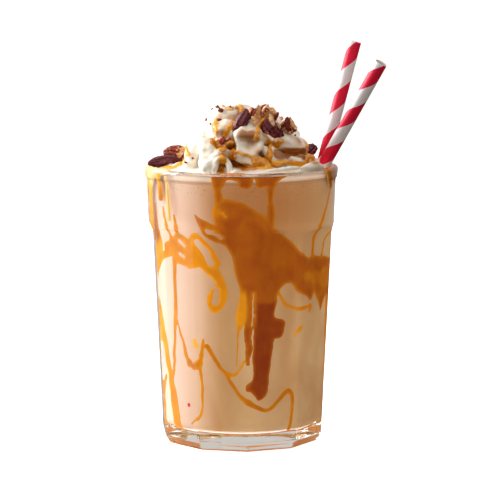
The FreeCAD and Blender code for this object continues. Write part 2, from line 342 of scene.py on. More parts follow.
def buildGlassPoints():
    # rings from the middle of the underside, up the outside, over the bead and down the inside
    g = glassShape
    angle = aroundAngles()
    rings = []
    footOuter = outerRadius(angle, 0.02)
    for share in (0.02, 0.2, 0.4, 0.6, 0.72, 0.78):        # the punt under the floor
        sink = g["punt"] * (1 - smoothStep(0.55, 0.8, np.array(share)))
        rings.append(ring(angle, footOuter * share, float(sink)))
    for share in (0.84, 0.9, 0.95):
        rings.append(ring(angle, footOuter * share, 0.0))
    for turn in np.radians(np.linspace(-90, -12, 7)):        # soft edge at the foot
        rise = g["footSoft"] * (1 + np.sin(turn))
        inset = g["footSoft"] * (1 - np.cos(turn))
        rings.append(ring(angle, outerRadius(angle, rise) - inset, rise))
    heights = np.concatenate([np.linspace(1.3, 6.5, 18), np.linspace(8, shoulder - 3, 34),
                              np.linspace(shoulder - 2, shoulder + 6.5, 26),
                              np.linspace(shoulder + 8, beadFoot - 1.0, 9)])
    for height in heights:
        rings.append(ring(angle, outerRadius(angle, height), height))
    bead = np.vstack([
        [(g["neckRadius"] + 0.02, beadFoot - 0.3), (g["neckRadius"] + 0.12, beadFoot + 0.05)],
        beadArc("under", -50, 0, 5), beadArc("top", 0, 90, 10), beadArc("lip", 90, 172, 9)])
    for radius, height in bead:
        rings.append(ring(angle, radius, height))
    for height in np.concatenate([np.linspace(rimHeight - 2.0, beadFoot, 6),
                                  np.linspace(beadFoot - 3, floorTop + g["floorRound"] + 0.5, 40)]):
        rings.append(ring(angle, float(innerRadius(np.array(height))), height))
    foot = float(innerRadius(np.array(floorTop + g["floorRound"])))
    for radius, height in arcPoints((foot - g["floorRound"], floorTop + g["floorRound"]),
                                    g["floorRound"], 0, -90, 10):
        rings.append(ring(angle, radius, height))
    for share in (0.8, 0.5, 0.2, 0.02):
        rings.append(ring(angle, (foot - g["floorRound"]) * share, floorTop))
    return np.array(rings)


def glassMaterial():
    # clear soda glass with faint mould waves and a little uneven polish
    s = Shader("clearGlass")
    waves = s.plus(s.noise(38.0, 1.0), s.times(s.noise(160.0, 2.0), 0.06))
    s.set(Base_Color=srgb(252, 253, 251), Transmission_Weight=1.0, IOR=1.5,
          Roughness=s.times(s.noise(60.0, 4.0), 0.03), Normal=s.bump(waves, 0.0006, 0.35))
    return s.owner


glassMesh = makeMesh("glassBody", *closedGrid(buildGlassPoints()))
addPiece("glassBody", glassMesh, glassMaterial(), ["glass"])


drinkShape = {"intoWall": 0.15, "columns": 240, "rows": 150, "liningTop": 1.7, "lining": 1.0}


def buildDrinkPoints():
    # the inside of the glass, grown a hair into the wall and the floor so that no air shows,
    # and drawn up the wall round the cream as a thin lining
    d = drinkShape
    angle = np.linspace(0, 2 * np.pi, d["columns"], endpoint=False)
    grow = d["intoWall"]
    low = floorTop - grow
    top = rimHeight - d["liningTop"]
    share = np.linspace(0, 1, d["rows"])
    height = low + (top - low) * share ** 1.15
    radius = innerRadius(np.maximum(height, floorTop + 0.001)) + grow
    radius[0] = radius[1] * 0.97
    rings = [ring(angle, radius[0] * part, height[0]) for part in (0.05, 0.4, 0.8)]
    rings += [ring(angle, one, two) for one, two in zip(radius, height)]
    rings.append(ring(angle, radius[-1] - d["lining"], top - 0.3))
    rings += [ring(angle, (radius[-1] - d["lining"] - 0.2) * part, drinkLevel)
              for part in (1.0, 0.7, 0.3, 0.03)]
    return np.array(rings)


# paintedWindowLight is painted light: the pale colour of the window-lit left side of the drink
drinkColours = {
    "cloudDark": srgb(196, 152, 103), "cloud": srgb(208, 166, 116), "cloudPale": srgb(220, 184, 138),
    "drift": srgb(188, 130, 78), "stain": srgb(180, 112, 54), "paintedWindowLight": srgb(244, 217, 203),
    "froth": srgb(244, 226, 208), "settled": srgb(214, 142, 70), "fleck": srgb(140, 84, 44),
    "creamy": srgb(240, 220, 202), "underRim": srgb(164, 112, 74), "berry": srgb(214, 20, 60),
}
drinkSpots = {"stain": (0.004, -0.042, 0.117), "berry": (-0.0236, -0.0267, 0.0208), "berryRadius": 0.001}


def drinkMaterial():
    # creamy coffee-toffee drink: tan clouds, darker caramel drifts and a stain near the top, painted window
    # light that makes the left (-X) side pale, toffee settled at the floor; froth, flecks and a pale line
    # below the rim; one berry bit
    s = Shader("milkshakeDrink")
    c = drinkColours
    place = s.place()
    slow = s.stretched(place, (1.0, 1.0, 0.55))
    clouds = s.noise(28.0, 4.0, slow, 0.6)
    drift = s.noise(13.0, 5.0, slow, 1.6)
    near = s.plus(s.distance(s.stretched(place, (0.6, 1.0, 1.0)), drinkSpots["stain"]),
                  s.times(drift, 0.03, -0.015))
    parts = s.node("ShaderNodeSeparateXYZ", Vector=place).outputs
    across = s.plus(parts["X"], s.times(clouds, 0.012, -0.006))
    wavy = s.plus(parts["Z"], s.times(clouds, 0.003, -0.0015))
    high = s.times(parts["Z"], 5.0)         # ramps run from 0 to 1, so heights are scaled to fit
    frothy = s.ramp(s.times(wavy, 5.0), (0.585, 0), (0.62, 1))
    layers = {
        "drift": s.ramp(drift, (0.46, 0), (0.70, 0.7)),
        "stain": s.ramp(s.times(near, 20.0), (0.16, 0.75), (0.62, 0)),
        # painted light: the left (-X) third of the drink is painted pale where the window light falls on it
        "paintedWindowLight": s.ramp(s.times(across, 10.0, 0.5), (0.17, 0.85), (0.40, 0)),
        "froth": s.times(s.dots(1500.0, 0.14), 0.25),
        "settled": s.ramp(s.times(wavy, 10.0), (0.080, 1), (0.103, 0)),
        "fleck": s.times(s.maths("MULTIPLY", s.dots(620.0, 0.17), frothy), 0.7),
        "creamy": s.ramp(high, (0.635, 0), (0.638, 0.75)),
        "underRim": s.ramp(high, (0.6295, 0), (0.6325, 0.6), (0.6355, 0)),
        "berry": s.maths("LESS_THAN", s.distance(place, drinkSpots["berry"]), drinkSpots["berryRadius"]),
    }
    colour = s.ramp(clouds, (0.30, c["cloudDark"]), (0.52, c["cloud"]), (0.75, c["cloudPale"]))
    for name, share in layers.items():
        colour = s.mix(share, colour, c[name])
    s.set(Base_Color=colour, Roughness=0.6, Specular_IOR_Level=0.15, Subsurface_Weight=0.10,
          Subsurface_Radius=(0.9, 0.5, 0.3), Subsurface_Scale=0.002)
    return s.owner


drinkMesh = makeMesh("drink", *closedGrid(buildDrinkPoints()))
addPiece("drink", drinkMesh, drinkMaterial(), ["milkshake"])


wallSauce = {
    "grid": 0.45, "spread": 39.0, "lowest": 8.4, "highest": 129.4, "intoWall": 0.17, "behind": 0.25,
    "thick": 0.30, "round": 1.1, "dip": 0.12, "keep": 0.1, "wobble": 0.45, "ripple": 0.16, "join": 1.3,
    "frontReach": 102.0, "gapShift": (-92, 4),
}

# broad patches: the outline as (angle, height) and how deep the caramel is there
wallPatches = {
    "bigMass": ([(-31, 112), (-25, 109.5), (-17, 107), (-18.5, 111), (-18, 114), (-15, 117.5), (-10, 119),
        (-4, 118.5), (2, 117), (8, 114.5), (17, 110.5), (21, 106), (28, 103), (36, 97.5), (44, 93),
        (51, 90.5), (65, 90), (80, 88), (92, 86), (96, 72), (84, 67), (78, 70), (71, 64), (67, 67),
        (59, 73), (55, 70), (51, 71.5), (43, 74), (34, 79.5), (26, 75.5), (23, 69), (11, 68), (4, 72.5),
        (-1, 78), (-4.5, 86.5), (-6, 92), (-9, 96), (-13, 98.5), (-18, 99.5), (-23, 101.5), (-27, 105)],
        0.7),
    "tongue": ([(24.5, 72), (24, 63.5), (31, 62), (32, 59), (29, 54), (23.5, 53), (22, 48), (20.5, 38),
        (20, 30), (18, 26.5), (13.5, 24.5), (9.5, 26), (6.5, 28.5), (4.5, 29), (4, 31), (5.5, 33),
        (7.5, 36), (7.5, 44), (8, 53.5), (9, 62.5), (10.5, 72)], 0.93),
    "goldStem": ([(1, 79), (-2, 69.5), (-3, 62.5), (-0.5, 58.5), (1.5, 61), (5, 66.5), (6, 79)], 0.3),
    "leftMass": ([(-73.5, 95.5), (-58.5, 97), (-51.5, 100), (-45.5, 102.5), (-40, 101.5), (-36.5, 100),
        (-33.5, 103), (-29, 102.5), (-24.5, 99.5), (-19, 95), (-14.5, 90), (-15.5, 87), (-12, 82),
        (-9.5, 77.5), (-10, 72), (-14, 67), (-18.5, 65.5), (-23, 68), (-24.5, 72), (-22, 76), (-17.5, 78.5),
        (-19.5, 82), (-23.5, 84), (-28.5, 87), (-31, 87), (-36, 86), (-41, 87), (-48.5, 88), (-52.5, 91),
        (-63.5, 88.5), (-72, 84)], 0.36),
    "rimPool": ([(-17.5, 131), (-17, 126), (-13, 124.5), (-9, 128), (-3, 127.5), (-1, 125), (4, 124.5),
        (6.5, 127), (8, 129.5), (9.5, 126), (12, 124.5), (16, 125.5), (20, 124), (22.5, 127), (26, 128.5),
        (28, 131)], 0.74),
}

# clear gaps in the patches, as strokes: path and half the width
wallGaps = [
    ([(-22.5, 104.6), (-17.5, 103.2), (-13.5, 101.2)], 0.9),
    ([(-63, 97), (-63.5, 93.5)], 0.9),
    ([(-45, 98.5), (-41, 96.3)], 1.0),
    ([(-45.5, 92.5), (-41.5, 91)], 0.9),
    ([(-31, 98.5), (-25.5, 94.5), (-20.5, 89.5)], 1.7),
    ([(-16.8, 76), (-17.3, 73.5), (-18.7, 70.5)], 1.7),
    ([(7.3, 75), (7, 68), (6.6, 60)], 0.35),
]

# thin runs: path, half width from start to end, depth
wallRuns = {
    "rimFront": ([(-15.5, 131), (-15, 126), (-14.5, 118)], (2.0, 1.5), 0.7),
    "rimMiddle": ([(18, 131), (18.5, 121), (19, 107)], (1.4, 1.3), 0.72),
    "rimRight": ([(75, 129), (73.5, 124), (70.5, 117), (64.5, 108.5), (58, 102), (55, 97), (54.5, 88)],
        (0.9, 1.3), 0.55),
    "edgeRight": ([(83, 102), (72.5, 97.5), (69.5, 94), (67.5, 88)], (0.5, 0.9), 0.55),
    "edgeDown": ([(81, 69), (82.5, 48.5), (86, 19)], (1.4, 0.5), 0.5),
    "leftOuter": ([(-69.5, 114), (-68.5, 104.5), (-68, 94)], (0.6, 2.4), 0.3),
    "leftThin": ([(-59, 113.5), (-56, 105.5), (-53, 97)], (0.5, 1.1), 0.4),
    "leftDrop": ([(-48.5, 110.5), (-46.5, 105.5), (-46, 100)], (0.5, 1.6), 0.38),
    "leftFall": ([(-50.5, 90), (-51.5, 84), (-52, 70), (-53, 60), (-55, 48.5), (-57.5, 37), (-61, 31)],
        (1.5, 0.8), 0.42),
    "leftBand": ([(-71, 90), (-74, 78), (-74, 69.5), (-71.5, 60), (-67.5, 48.5), (-64.5, 38), (-61.5, 31),
        (-59, 20.5), (-56.5, 11.5), (-55, 8)], (0.8, 3.3), 0.3),
    "leftEdge": ([(-69, 32), (-73.5, 26), (-75, 19), (-75.5, 10)], (1.0, 1.6), 0.35),
    "leftBranch": ([(-78, 60), (-76, 55.5), (-73, 51.5), (-68, 47)], (0.4, 0.9), 0.1),
    "forkLeft": ([(-51, 61), (-47.5, 55), (-44.5, 49.5), (-42.5, 44), (-39.5, 40.5)], (0.35, 1.4), 0.42),
    "forkBowl": ([(-39.5, 41), (-34.5, 39.6), (-31.5, 41.5)], (1.5, 1.9), 0.5),
    "forkRight": ([(-31.5, 41), (-29.3, 46.5), (-27.8, 52.5)], (1.5, 0.6), 0.5),
    "tail": ([(-31, 39.5), (-30, 33.5), (-29.5, 27), (-30, 20), (-33.5, 15), (-39, 12)], (0.8, 0.4), 0.5),
    "smallDrip": ([(-34.5, 53), (-33, 49.5)], (0.5, 0.7), 0.05),
    "wave": ([(-25, 49.5), (-19, 43.5), (-12, 37.5), (-4.5, 30), (4, 24), (11.5, 21.5), (17.5, 19.8),
        (22.5, 21), (28.5, 24.5), (35, 27.8), (39, 27), (40.3, 22), (39.5, 9)], (0.85, 1.0), 0.62),
    "hook": ([(-10, 37), (-5, 36.7), (-0.5, 39.5), (2.5, 43)], (0.8, 0.3), 0.4),
    "thread": ([(-1.5, 60), (-2, 51), (-3, 41)], (0.5, 0.22), 0.45),
    "darkStem": ([(4, 80), (5.5, 64), (4.6, 57), (5, 48.5), (4.5, 41.5)], (2.2, 0.4), 0.85),
    "arc": ([(26.5, 75), (31.5, 70), (40, 67), (48.5, 66.6), (55, 67.5), (54.5, 65)], (0.6, 1.0), 0.5),
    "smudge": ([(41, 54), (44.5, 57.5)], (0.5, 0.9), 0.35),
    "goldBlob": ([(-11.5, 112.5), (-9.5, 110.5)], (3.6, 3.6), -0.3),
    "goldRight": ([(48, 82), (62, 80), (84, 78)], (5.0, 8.0), 0.42),
}

# the far side repeats some of these, turned over and moved round (angle = start + flip * angle)
farSide = [
    ("bigMass", 204, -1, -6), ("tongue", 204, -1, -4), ("leftMass", -92, 1, 4),
    ("wave", 176, 1, 6), ("rimMiddle", 168, 1, 0), ("rimRight", -168, -1, 0),
    ("leftFall", -94, 1, -2), ("forkLeft", 154, 1, 2), ("forkBowl", 154, 1, 2),
    ("forkRight", 154, 1, 2), ("tail", 154, 1, 2), ("rimPool", 176, 1, 0), ("arc", -152, 1, -14),
]


def unrolled(path):
    # (angle, height) as flat millimetres on the wall
    path = np.array(path, float)
    return np.stack([np.radians(path[:, 0]) * wallSauce["spread"], path[:, 1]], -1)


def pathDistance(points, path):
    # distance from points to a path of short lines, and the share of the path that is nearest
    start, step = path[:-1], np.diff(path, axis=0)
    along = np.einsum("psd,sd->ps", points[:, None] - start, step) / (step ** 2).sum(1)
    along = np.clip(along, 0, 1)
    gap = np.linalg.norm(points[:, None] - start - along[..., None] * step, axis=2)
    nearest = gap.argmin(1)
    row = np.arange(len(points))
    return gap[row, nearest], (nearest + along[row, nearest]) / len(step)


def insideOutline(points, outline):
    # true where a line to the right crosses the outline an odd number of times
    start, end = outline, np.roll(outline, -1, axis=0)
    y = points[:, 1:2]
    spans = (start[:, 1] > y) != (end[:, 1] > y)
    rise = end[:, 1] - start[:, 1]
    rise = np.where(np.abs(rise) < 1e-9, 1e-9, rise)
    cross = start[:, 0] + (y - start[:, 1]) / rise * (end[:, 0] - start[:, 0])
    return (spans & (points[:, :1] < cross)).sum(1) % 2 == 1


class SauceField:
    # how far inside the sauce each point lies (positive inside), and how deep the sauce is there
    reach = 4.0         # a shape further off than this leaves a point alone

    def __init__(self, points, join):
        self.points, self.join = points, join
        self.level = np.full(len(points), -9.0)
        self.weight = np.full(len(points), 1e-9)
        self.depth = np.zeros(len(points))

    def near(self, path, reach):
        low, high = path.min(0) - reach, path.max(0) + reach
        return np.nonzero(((self.points >= low) & (self.points <= high)).all(1))[0]

    def add(self, chosen, level, depth):
        old = self.level[chosen]
        self.level[chosen] = -softMin(-old, -level, self.join)
        share = np.exp(np.clip(level, -4, 4) * 1.6)
        self.weight[chosen] += share
        self.depth[chosen] += share * depth

    def patch(self, outline, depth):
        closed = smoothPath(np.vstack([outline, outline[:1]]), len(outline) * 4)
        chosen = self.near(closed, self.reach)
        gap, _ = pathDistance(self.points[chosen], closed)
        inside = insideOutline(self.points[chosen], closed[:-1])
        self.add(chosen, np.where(inside, gap, -gap), depth)

    def run(self, path, half, depth):
        fine = smoothPath(path, len(path) * 6)
        chosen = self.near(fine, self.reach + max(half))
        gap, share = pathDistance(self.points[chosen], fine)
        width = np.interp(share, np.linspace(0, 1, len(half)), half)
        width = width * (1 + 0.12 * np.sin(share * 17 + 9 * half[0]))
        first, last = depth if isinstance(depth, tuple) else (depth, depth)
        self.add(chosen, width - gap, first + (last - first) * share)

    def gap(self, path, half):
        fine = smoothPath(path, len(path) * 6)
        chosen = self.near(fine, self.reach + half)
        away, _ = pathDistance(self.points[chosen], fine)
        self.level[chosen] = softMin(self.level[chosen], away - half, 0.6)

    def result(self):
        return self.level, self.depth / self.weight


def addRound(field, shape, spread, start=0, flip=1, rise=0):
    # a patch (outline, depth) or a run (path, half width, depth) of (angle, height), laid flat, and
    # once more a whole turn to each side of it
    path = np.array(shape[0], float)
    for turn in (-360, 0, 360):
        flat = np.stack([np.radians(start + flip * path[:, 0] + turn) * spread, path[:, 1] + rise], -1)
        if len(shape) == 2:
            field.patch(flat, shape[1])
        else:
            field.run(flat, *shape[1:])


def crown(level, shape, uneven=1.0):
    # the height of a drop's skin: a root curve that rises from its edge, and a dip outside it
    swell = np.clip(level / shape["round"], -1, 1)
    lift = shape["thick"] * np.where(swell > 0, np.sqrt(np.clip(swell, 0, 1)) * uneven, swell)
    return np.clip(lift, -shape["dip"], None)


fullTone = 1.6          # this far in from its edge, caramel has the whole of its tone


def layerMesh(name, shape, top, bottom, quads, lift, level, depth):
    # a thin closed layer where there is caramel: an upper and a lower skin joined round every open edge,
    # with the caramel's depth and how far in from its edge each point lies
    quads = quads[(lift[quads] > -shape["keep"]).any(1)]
    used, index = np.unique(quads, return_inverse=True)
    quads = index.reshape(-1, 4)
    count = len(used)
    edges = np.stack([quads, np.roll(quads, -1, axis=1)], -1).reshape(-1, 2)
    pairs = np.sort(edges, axis=1)
    _, first, times = np.unique(pairs[:, 0] * count + pairs[:, 1], return_index=True, return_counts=True)
    rim = edges[first[times == 1]]
    sides = np.stack([rim[:, 1], rim[:, 0], rim[:, 0] + count, rim[:, 1] + count], -1)
    faces = np.vstack([quads, quads[:, ::-1] + count, sides])
    mesh = makeMesh(name, np.vstack([top[used], bottom[used]]), faces.tolist(), outward=False)
    setAttribute(mesh, "depth", np.tile(depth[used], 2))
    setAttribute(mesh, "cover", np.tile(np.clip(level[used] / fullTone, 0, 1), 2))
    return mesh


def wallSauceField(flat):
    # all the shapes on the unrolled wall, their outlines made uneven by a coarse and a fine noise
    w = wallSauce
    onPlane = np.c_[flat, 0 * flat[:, 0]]
    wobble = [w["wobble"] * valueNoise(onPlane, coarse, seed)
              + w["ripple"] * valueNoise(onPlane, fine, seed + 1)
              for coarse, fine, seed in ((5.0, 1.7, 11), (5.5, 1.9, 13))]
    field = SauceField(flat + np.stack(wobble, -1), w["join"])
    shapes = {**wallPatches, **wallRuns}
    for shape in shapes.values():
        addRound(field, shape, w["spread"])
    for name, start, flip, rise in farSide:
        addRound(field, shapes[name], w["spread"], start, flip, rise)
    for path, half in wallGaps:
        for shift in ((0, 0), w["gapShift"]):
            field.gap(unrolled(np.array(path) + shift), half)
    return field.result()


def buildWallSauce(name, fromAngle, toAngle):
    # radius = wall + a height field that dips under the drink wherever there is no caramel
    w = wallSauce
    columns = int(np.radians(toAngle - fromAngle) * w["spread"] / w["grid"])
    rows = int((w["highest"] - w["lowest"]) / w["grid"])
    angle = np.radians(np.linspace(fromAngle, toAngle, columns))
    angles, heights = np.meshgrid(angle, np.linspace(w["lowest"], w["highest"], rows))
    angles, heights = angles.ravel(), heights.ravel()
    level, depth = wallSauceField(np.stack([angles * w["spread"], heights], -1))
    lift = crown(level, w)
    wall = innerRadius(np.maximum(heights, floorTop + 0.3))
    top = ring(angles, wall + w["intoWall"] + lift, heights)
    bottom = ring(angles, wall - w["behind"], heights)
    quads = gridQuads(rows, columns, roundColumns=False)
    return layerMesh(name, w, top, bottom, quads, lift, level, depth)


caramelTones = (           # from the thinnest to the deepest
    (0.0, srgb(253, 228, 176)), (0.25, srgb(250, 182, 60)), (0.42, srgb(236, 156, 16)),
    (0.62, srgb(200, 118, 4)), (0.82, srgb(166, 78, 2)), (1.0, srgb(140, 52, 1)))


def caramelMaterial(name, behindGlass):
    # caramel: gold where it is thin, red-brown where it is deep, with drifts, and wet in the open
    s = Shader(name)
    drift = s.noise(75.0, 4.0, None, 1.2)
    folds = s.noise(160.0, 3.0, s.stretched(s.place(), (1.0, 1.0, 0.22)), 0.6)
    depth = s.plus(s.attribute("depth"), s.times(drift, 0.34, -0.17))
    depth = s.plus(depth, s.times(folds, 0.22, -0.11))
    depth = s.maths("MULTIPLY", depth, s.times(s.attribute("cover"), 0.3, 0.7))
    s.set(Base_Color=s.ramp(s.times(depth, 0.75, 0.25), *caramelTones))
    if behindGlass:
        s.set(Roughness=0.6, Specular_IOR_Level=0.1)
    else:
        s.set(Roughness=0.2, Specular_IOR_Level=0.28, Coat_Weight=0.1, Coat_Roughness=0.08,
              Subsurface_Weight=0.12, Subsurface_Radius=(1.0, 0.45, 0.10), Subsurface_Scale=0.001,
              Normal=s.bump(s.noise(420.0, 2.0), 0.0001, 0.4))
    return s.owner


wallCaramel = caramelMaterial("caramelOnWall", True)
reach = wallSauce["frontReach"]
for pieceName, start, end in (("caramelWallFront", -reach, reach), ("caramelWallBack", reach, 360 - reach)):
    addPiece(pieceName, buildWallSauce(pieceName, start, end), wallCaramel)


creamShape = {
    "intoWall": 0.25, "lining": 0.7, "lip": 1.4, "voxel": 0.6, "fine": 0.2, "crumple": 0.75, "around": 180,
    "dents": {"pecan_front": 3.6, "pecan_half": 1.0, "pecan_piece_middle": 1.0, "pecan_piece_top": 0.6},
    "axis": ([134, 147, 154, 160], [2.5, 2.0, -0.8, -1.0]),      # the heap's middle in x, by height
    "edge": ([134, 140, 147, 154, 158, 160.5], [31, 28, 21.2, 15.2, 8.5, 2]),   # and its radius
    "skirtFoot": 30, "skirtRise": 3.4, "skirtShift": 3.5, "coreInset": 3.2, "coreDrop": 1.2,
    "pitch": 7.2, "ropeFrom": 134.5, "ropeTo": 157.5, "ropeSteps": 120, "ropeWide": 4.9, "leftHeight": 139.8,
    "lumps": 34, "lumpsAway": 34.5, "lumpsHigh": 130.6, "lumpsLow": 0.7, "seed": 5,
}
foldShape = {"ringsPerPoint": 9, "around": 28, "ridges": 6, "middle": (2.0, 0, 128)}

# folds on the heap: path (x, y, z), half width along it, thickness as a share of that, and for a few
# how far the edges are bent outwards
creamFolds = {
    "petalHead": ([(-0.8, -21, 147.2), (-2.6, -24.5, 145.4), (-2.6, -27.5, 142.6)], (2.2, 3.0, 1.6), 0.7),
    "petal": ([(5.5, -17, 150.5), (4.2, -22.5, 147.4), (3.4, -27.2, 142.8), (4.2, -31.2, 138.2),
        (6.4, -33.2, 135.8)], (3.4, 5.6, 6.4, 5.4, 3.0), 0.24, 0.34),
    "petalBrow": ([(-5, -22.5, 146.2), (-1.5, -26, 147.8), (3, -27.4, 147), (7, -27.6, 147.4),
        (11, -25.4, 145.2), (13.5, -22.5, 143)], (1.2, 2.0, 1.9, 2.3, 1.9, 1.0), 0.7),
    "petalLip": ([(-3.8, -28, 142), (-3.4, -30.6, 138.6), (0.2, -33, 136), (6, -33.8, 134.8),
        (10.5, -32.4, 136)], (0.8, 1.2, 1.3, 1.2, 0.8), 0.9),
    "rightFold": ([(11, -20.5, 146.4), (17, -18.8, 144.2), (23.4, -14.6, 141.8), (28.2, -8, 140.6),
        (29.8, 0, 140)], (3.4, 4.8, 4.9, 4.4, 3.0), 0.5, -0.16),
    "rightUnder": ([(17, -26, 134.2), (23.5, -23, 134.6), (28.8, -17, 134.4), (32.2, -9, 134),
        (32.5, 0, 133.8)], (2.0, 2.9, 3.1, 2.8, 2.0), 0.8),
    "topCurl": ([(8.5, -13, 153.5), (12.5, -15.5, 151), (16.5, -15, 148.4), (20, -12, 146.4)],
        (2.2, 3.4, 3.6, 2.4), 0.6),
    "pleatA": ([(9.8, -28, 142), (12.2, -30, 138.8), (15.5, -32, 136), (19.5, -33.5, 133.4)],
        (1.2, 1.8, 1.7, 1.0), 0.9),
    "pleatB": ([(13, -25.5, 142.5), (15.4, -28, 139.4), (18.6, -30, 136.6), (23, -31.5, 133.6)],
        (1.4, 2.0, 1.9, 1.1), 0.9),
    "pleatC": ([(7.5, -31, 138), (10, -33, 135.4), (13.5, -34.5, 133.4)], (1.0, 1.7, 1.0), 0.9),
    "smallCurl": ([(-12.6, -28.5, 138), (-11.3, -30.2, 139.6), (-8.6, -31.4, 140.3), (-6.2, -31.6, 139.3),
        (-5.2, -31.6, 137.2)], (0.9, 1.5, 1.6, 1.5, 1.0), 0.95),
    "hookCurl": ([(-6.2, -40.2, 130.6), (-5.4, -39.2, 133.4), (-6.3, -37.6, 135.8), (-8.9, -36.6, 137.2),
        (-11.4, -36.9, 135.8), (-12.3, -38, 133.2), (-12.8, -39.2, 131)],
        (1.0, 1.35, 1.35, 1.3, 1.5, 1.7, 1.4), 0.9),
    "leftArm": ([(-9.5, -32, 139.5), (-12.5, -33.5, 137), (-15.5, -36, 134), (-17.5, -37.5, 131.5)],
        (1.2, 2.2, 2.6, 2.0), 0.9),
    "leftShoulder": ([(-17, -21, 144.5), (-15.5, -25.5, 141), (-15.5, -29.5, 137), (-17.5, -33.5, 133)],
        (3.6, 4.4, 4.4, 3.4), 0.75),
    "leftOuter": ([(-21.5, -13, 141.5), (-22.5, -18.5, 138.5), (-23.5, -23.5, 134.5), (-24.5, -27, 131.5)],
        (3.4, 4.2, 4.2, 3.2), 0.75),
    "leftInner": ([(-8.5, -19, 150.5), (-8.5, -22.5, 147.5), (-8, -26.5, 143.5), (-8.5, -29, 141)],
        (3.0, 4.0, 3.8, 2.6), 0.75),
    "rightLump": ([(27.5, -32, 131.8), (31.5, -29.5, 132.8), (35.2, -25.5, 132.6), (38, -20, 131.2)],
        (1.4, 2.4, 2.5, 1.6), 0.85),
    "frontStrip": ([(7, -40.6, 130.8), (14, -39, 131.8), (21, -35.8, 132.6), (27, -32, 132.8)],
        (0.9, 1.3, 1.4, 1.0), 0.9),
    "poolLump": ([(-4.6, -41, 130.6), (-2.6, -41.2, 131.4), (-0.6, -41.2, 130.8)], (1.0, 1.5, 1.0), 0.9),
    "crest": ([(-13.6, 1, 150.8), (-11.4, -2, 153.0), (-6, -2.5, 154.4), (0, -1, 155.6), (6, 0, 154.6)],
        (3.0, 4.2, 4.6, 4.6, 3.6), 0.95),
    "crestD": ([(8, 6, 153.5), (11.5, 1, 154.3), (14.5, -4, 152.5)], (3.4, 4.2, 3.2), 0.9),
    "rightShoulder": ([(14, -10, 150.5), (19, -6, 148), (23, -1, 145.5), (25, 6, 143.5)],
        (3.2, 4.0, 4.0, 3.0), 0.85),
}


def foldParts(path, half, flat, rope=0.0, cup=0.0):
    # a tube along a path: an ellipse whose thin way points away from the heap's middle, its edges
    # bent outwards by a cup (or inwards by a negative one), and round ends
    f = foldShape
    count = len(path) * f["ringsPerPoint"]
    line = smoothPath(path, count)
    along = np.gradient(line, axis=0)
    along /= np.linalg.norm(along, axis=1)[:, None]
    away = line - f["middle"]
    away -= (away * along).sum(1)[:, None] * along
    away /= np.linalg.norm(away, axis=1)[:, None]
    side = np.cross(along, away)
    share = np.linspace(0, 1, count)
    size = np.interp(share, np.linspace(0, 1, len(half)), half)
    size = size * np.sqrt(np.clip(1 - (2 * share - 1) ** 10, 0.02, 1))
    turn = np.linspace(0, 2 * np.pi, f["around"], endpoint=False)[None, :]
    ridge = 1 + rope * np.cos(f["ridges"] * turn + 9 * share[:, None])
    wide = (size[:, None] * np.cos(turn) * ridge)[..., None]
    thin = (size[:, None] * (flat * np.sin(turn) * ridge + cup * np.cos(turn) ** 2))[..., None]
    return closedGrid(line[:, None] + wide * side[:, None] + thin * away[:, None])


def creamBody():
    # rings: up the wall inside the glass, over a wavy skirt, then up the heap to its peak
    c = creamShape
    angle = np.linspace(0, 2 * np.pi, c["around"], endpoint=False)
    low, lip = drinkLevel + 0.02, rimHeight - c["lip"]
    rings = [ring(angle, 41.0 * part, low) for part in (0.02, 0.5, 0.9)]
    for height in np.linspace(low, lip, 7):
        inset = c["lining"] * smoothStep(0, 1.2, lip - height)
        rings.append(ring(angle, float(innerRadius(np.array(height)) + c["intoWall"] - inset), height))
    wall = float(innerRadius(np.array(lip))) + c["intoWall"]
    for share in np.linspace(0.1, 1, 9):
        wave = share * (0.5 * np.sin(5 * angle) + 0.4 * np.sin(3 * angle + 0.7))
        height = lip + c["skirtRise"] * np.sin(share * np.pi / 2) + wave
        moved = ring(angle, wall + (c["skirtFoot"] - wall) * share, height)
        moved[:, 0] += c["skirtShift"] * share
        rings.append(moved)
    for height in np.linspace(135, 159.5, 16):
        radius = np.interp(height, *c["edge"]) - c["coreInset"]
        moved = ring(angle, max(radius, 0.5), height - c["coreDrop"])
        moved[:, 0] += np.interp(height, *c["axis"])
        rings.append(moved)
    return closedGrid(np.array(rings))


def creamSwirl():
    # the piped rope: a spiral that climbs one pitch a turn and narrows with the heap
    c = creamShape
    height = np.linspace(c["ropeFrom"], c["ropeTo"], c["ropeSteps"])
    angle = np.radians(-90) + 2 * np.pi * (height - c["leftHeight"]) / c["pitch"]
    radius = np.interp(height, *c["edge"]) - c["ropeWide"] * 0.9
    path = ring(angle, np.maximum(radius, 1.0), height)
    path[:, 0] += np.interp(height, *c["axis"])
    return foldParts(path, (c["ropeWide"] * 0.8, c["ropeWide"], c["ropeWide"], 3.2), 0.9, 0.05)


def skirtDollops():
    # soft lumps between the foot of the heap and the rim, all round, lower towards the front
    c = creamShape
    random = np.random.default_rng(c["seed"])
    parts = []
    for step in range(c["lumps"]):
        turn = step * 360 / c["lumps"]
        middle = np.radians(turn + random.uniform(-4, 4))
        away = c["lumpsAway"] + random.uniform(-2.5, 2.5)
        turned = middle + np.array([-1, 0, 1]) * random.uniform(0.07, 0.12)
        atFront = abs((turn + 180) % 360 - 180) < 75
        low = c["lumpsHigh"] + random.uniform(-0.3, 0.9) - (c["lumpsLow"] if atFront else 0)
        path = ring(turned, away + np.array([1.5, 0, -1.5]) * random.uniform(-1, 1), low)
        size = random.uniform(2.2, 3.6)
        parts.append(foldParts(path, (size * 0.6, size, size * 0.6), 0.75))
    return parts


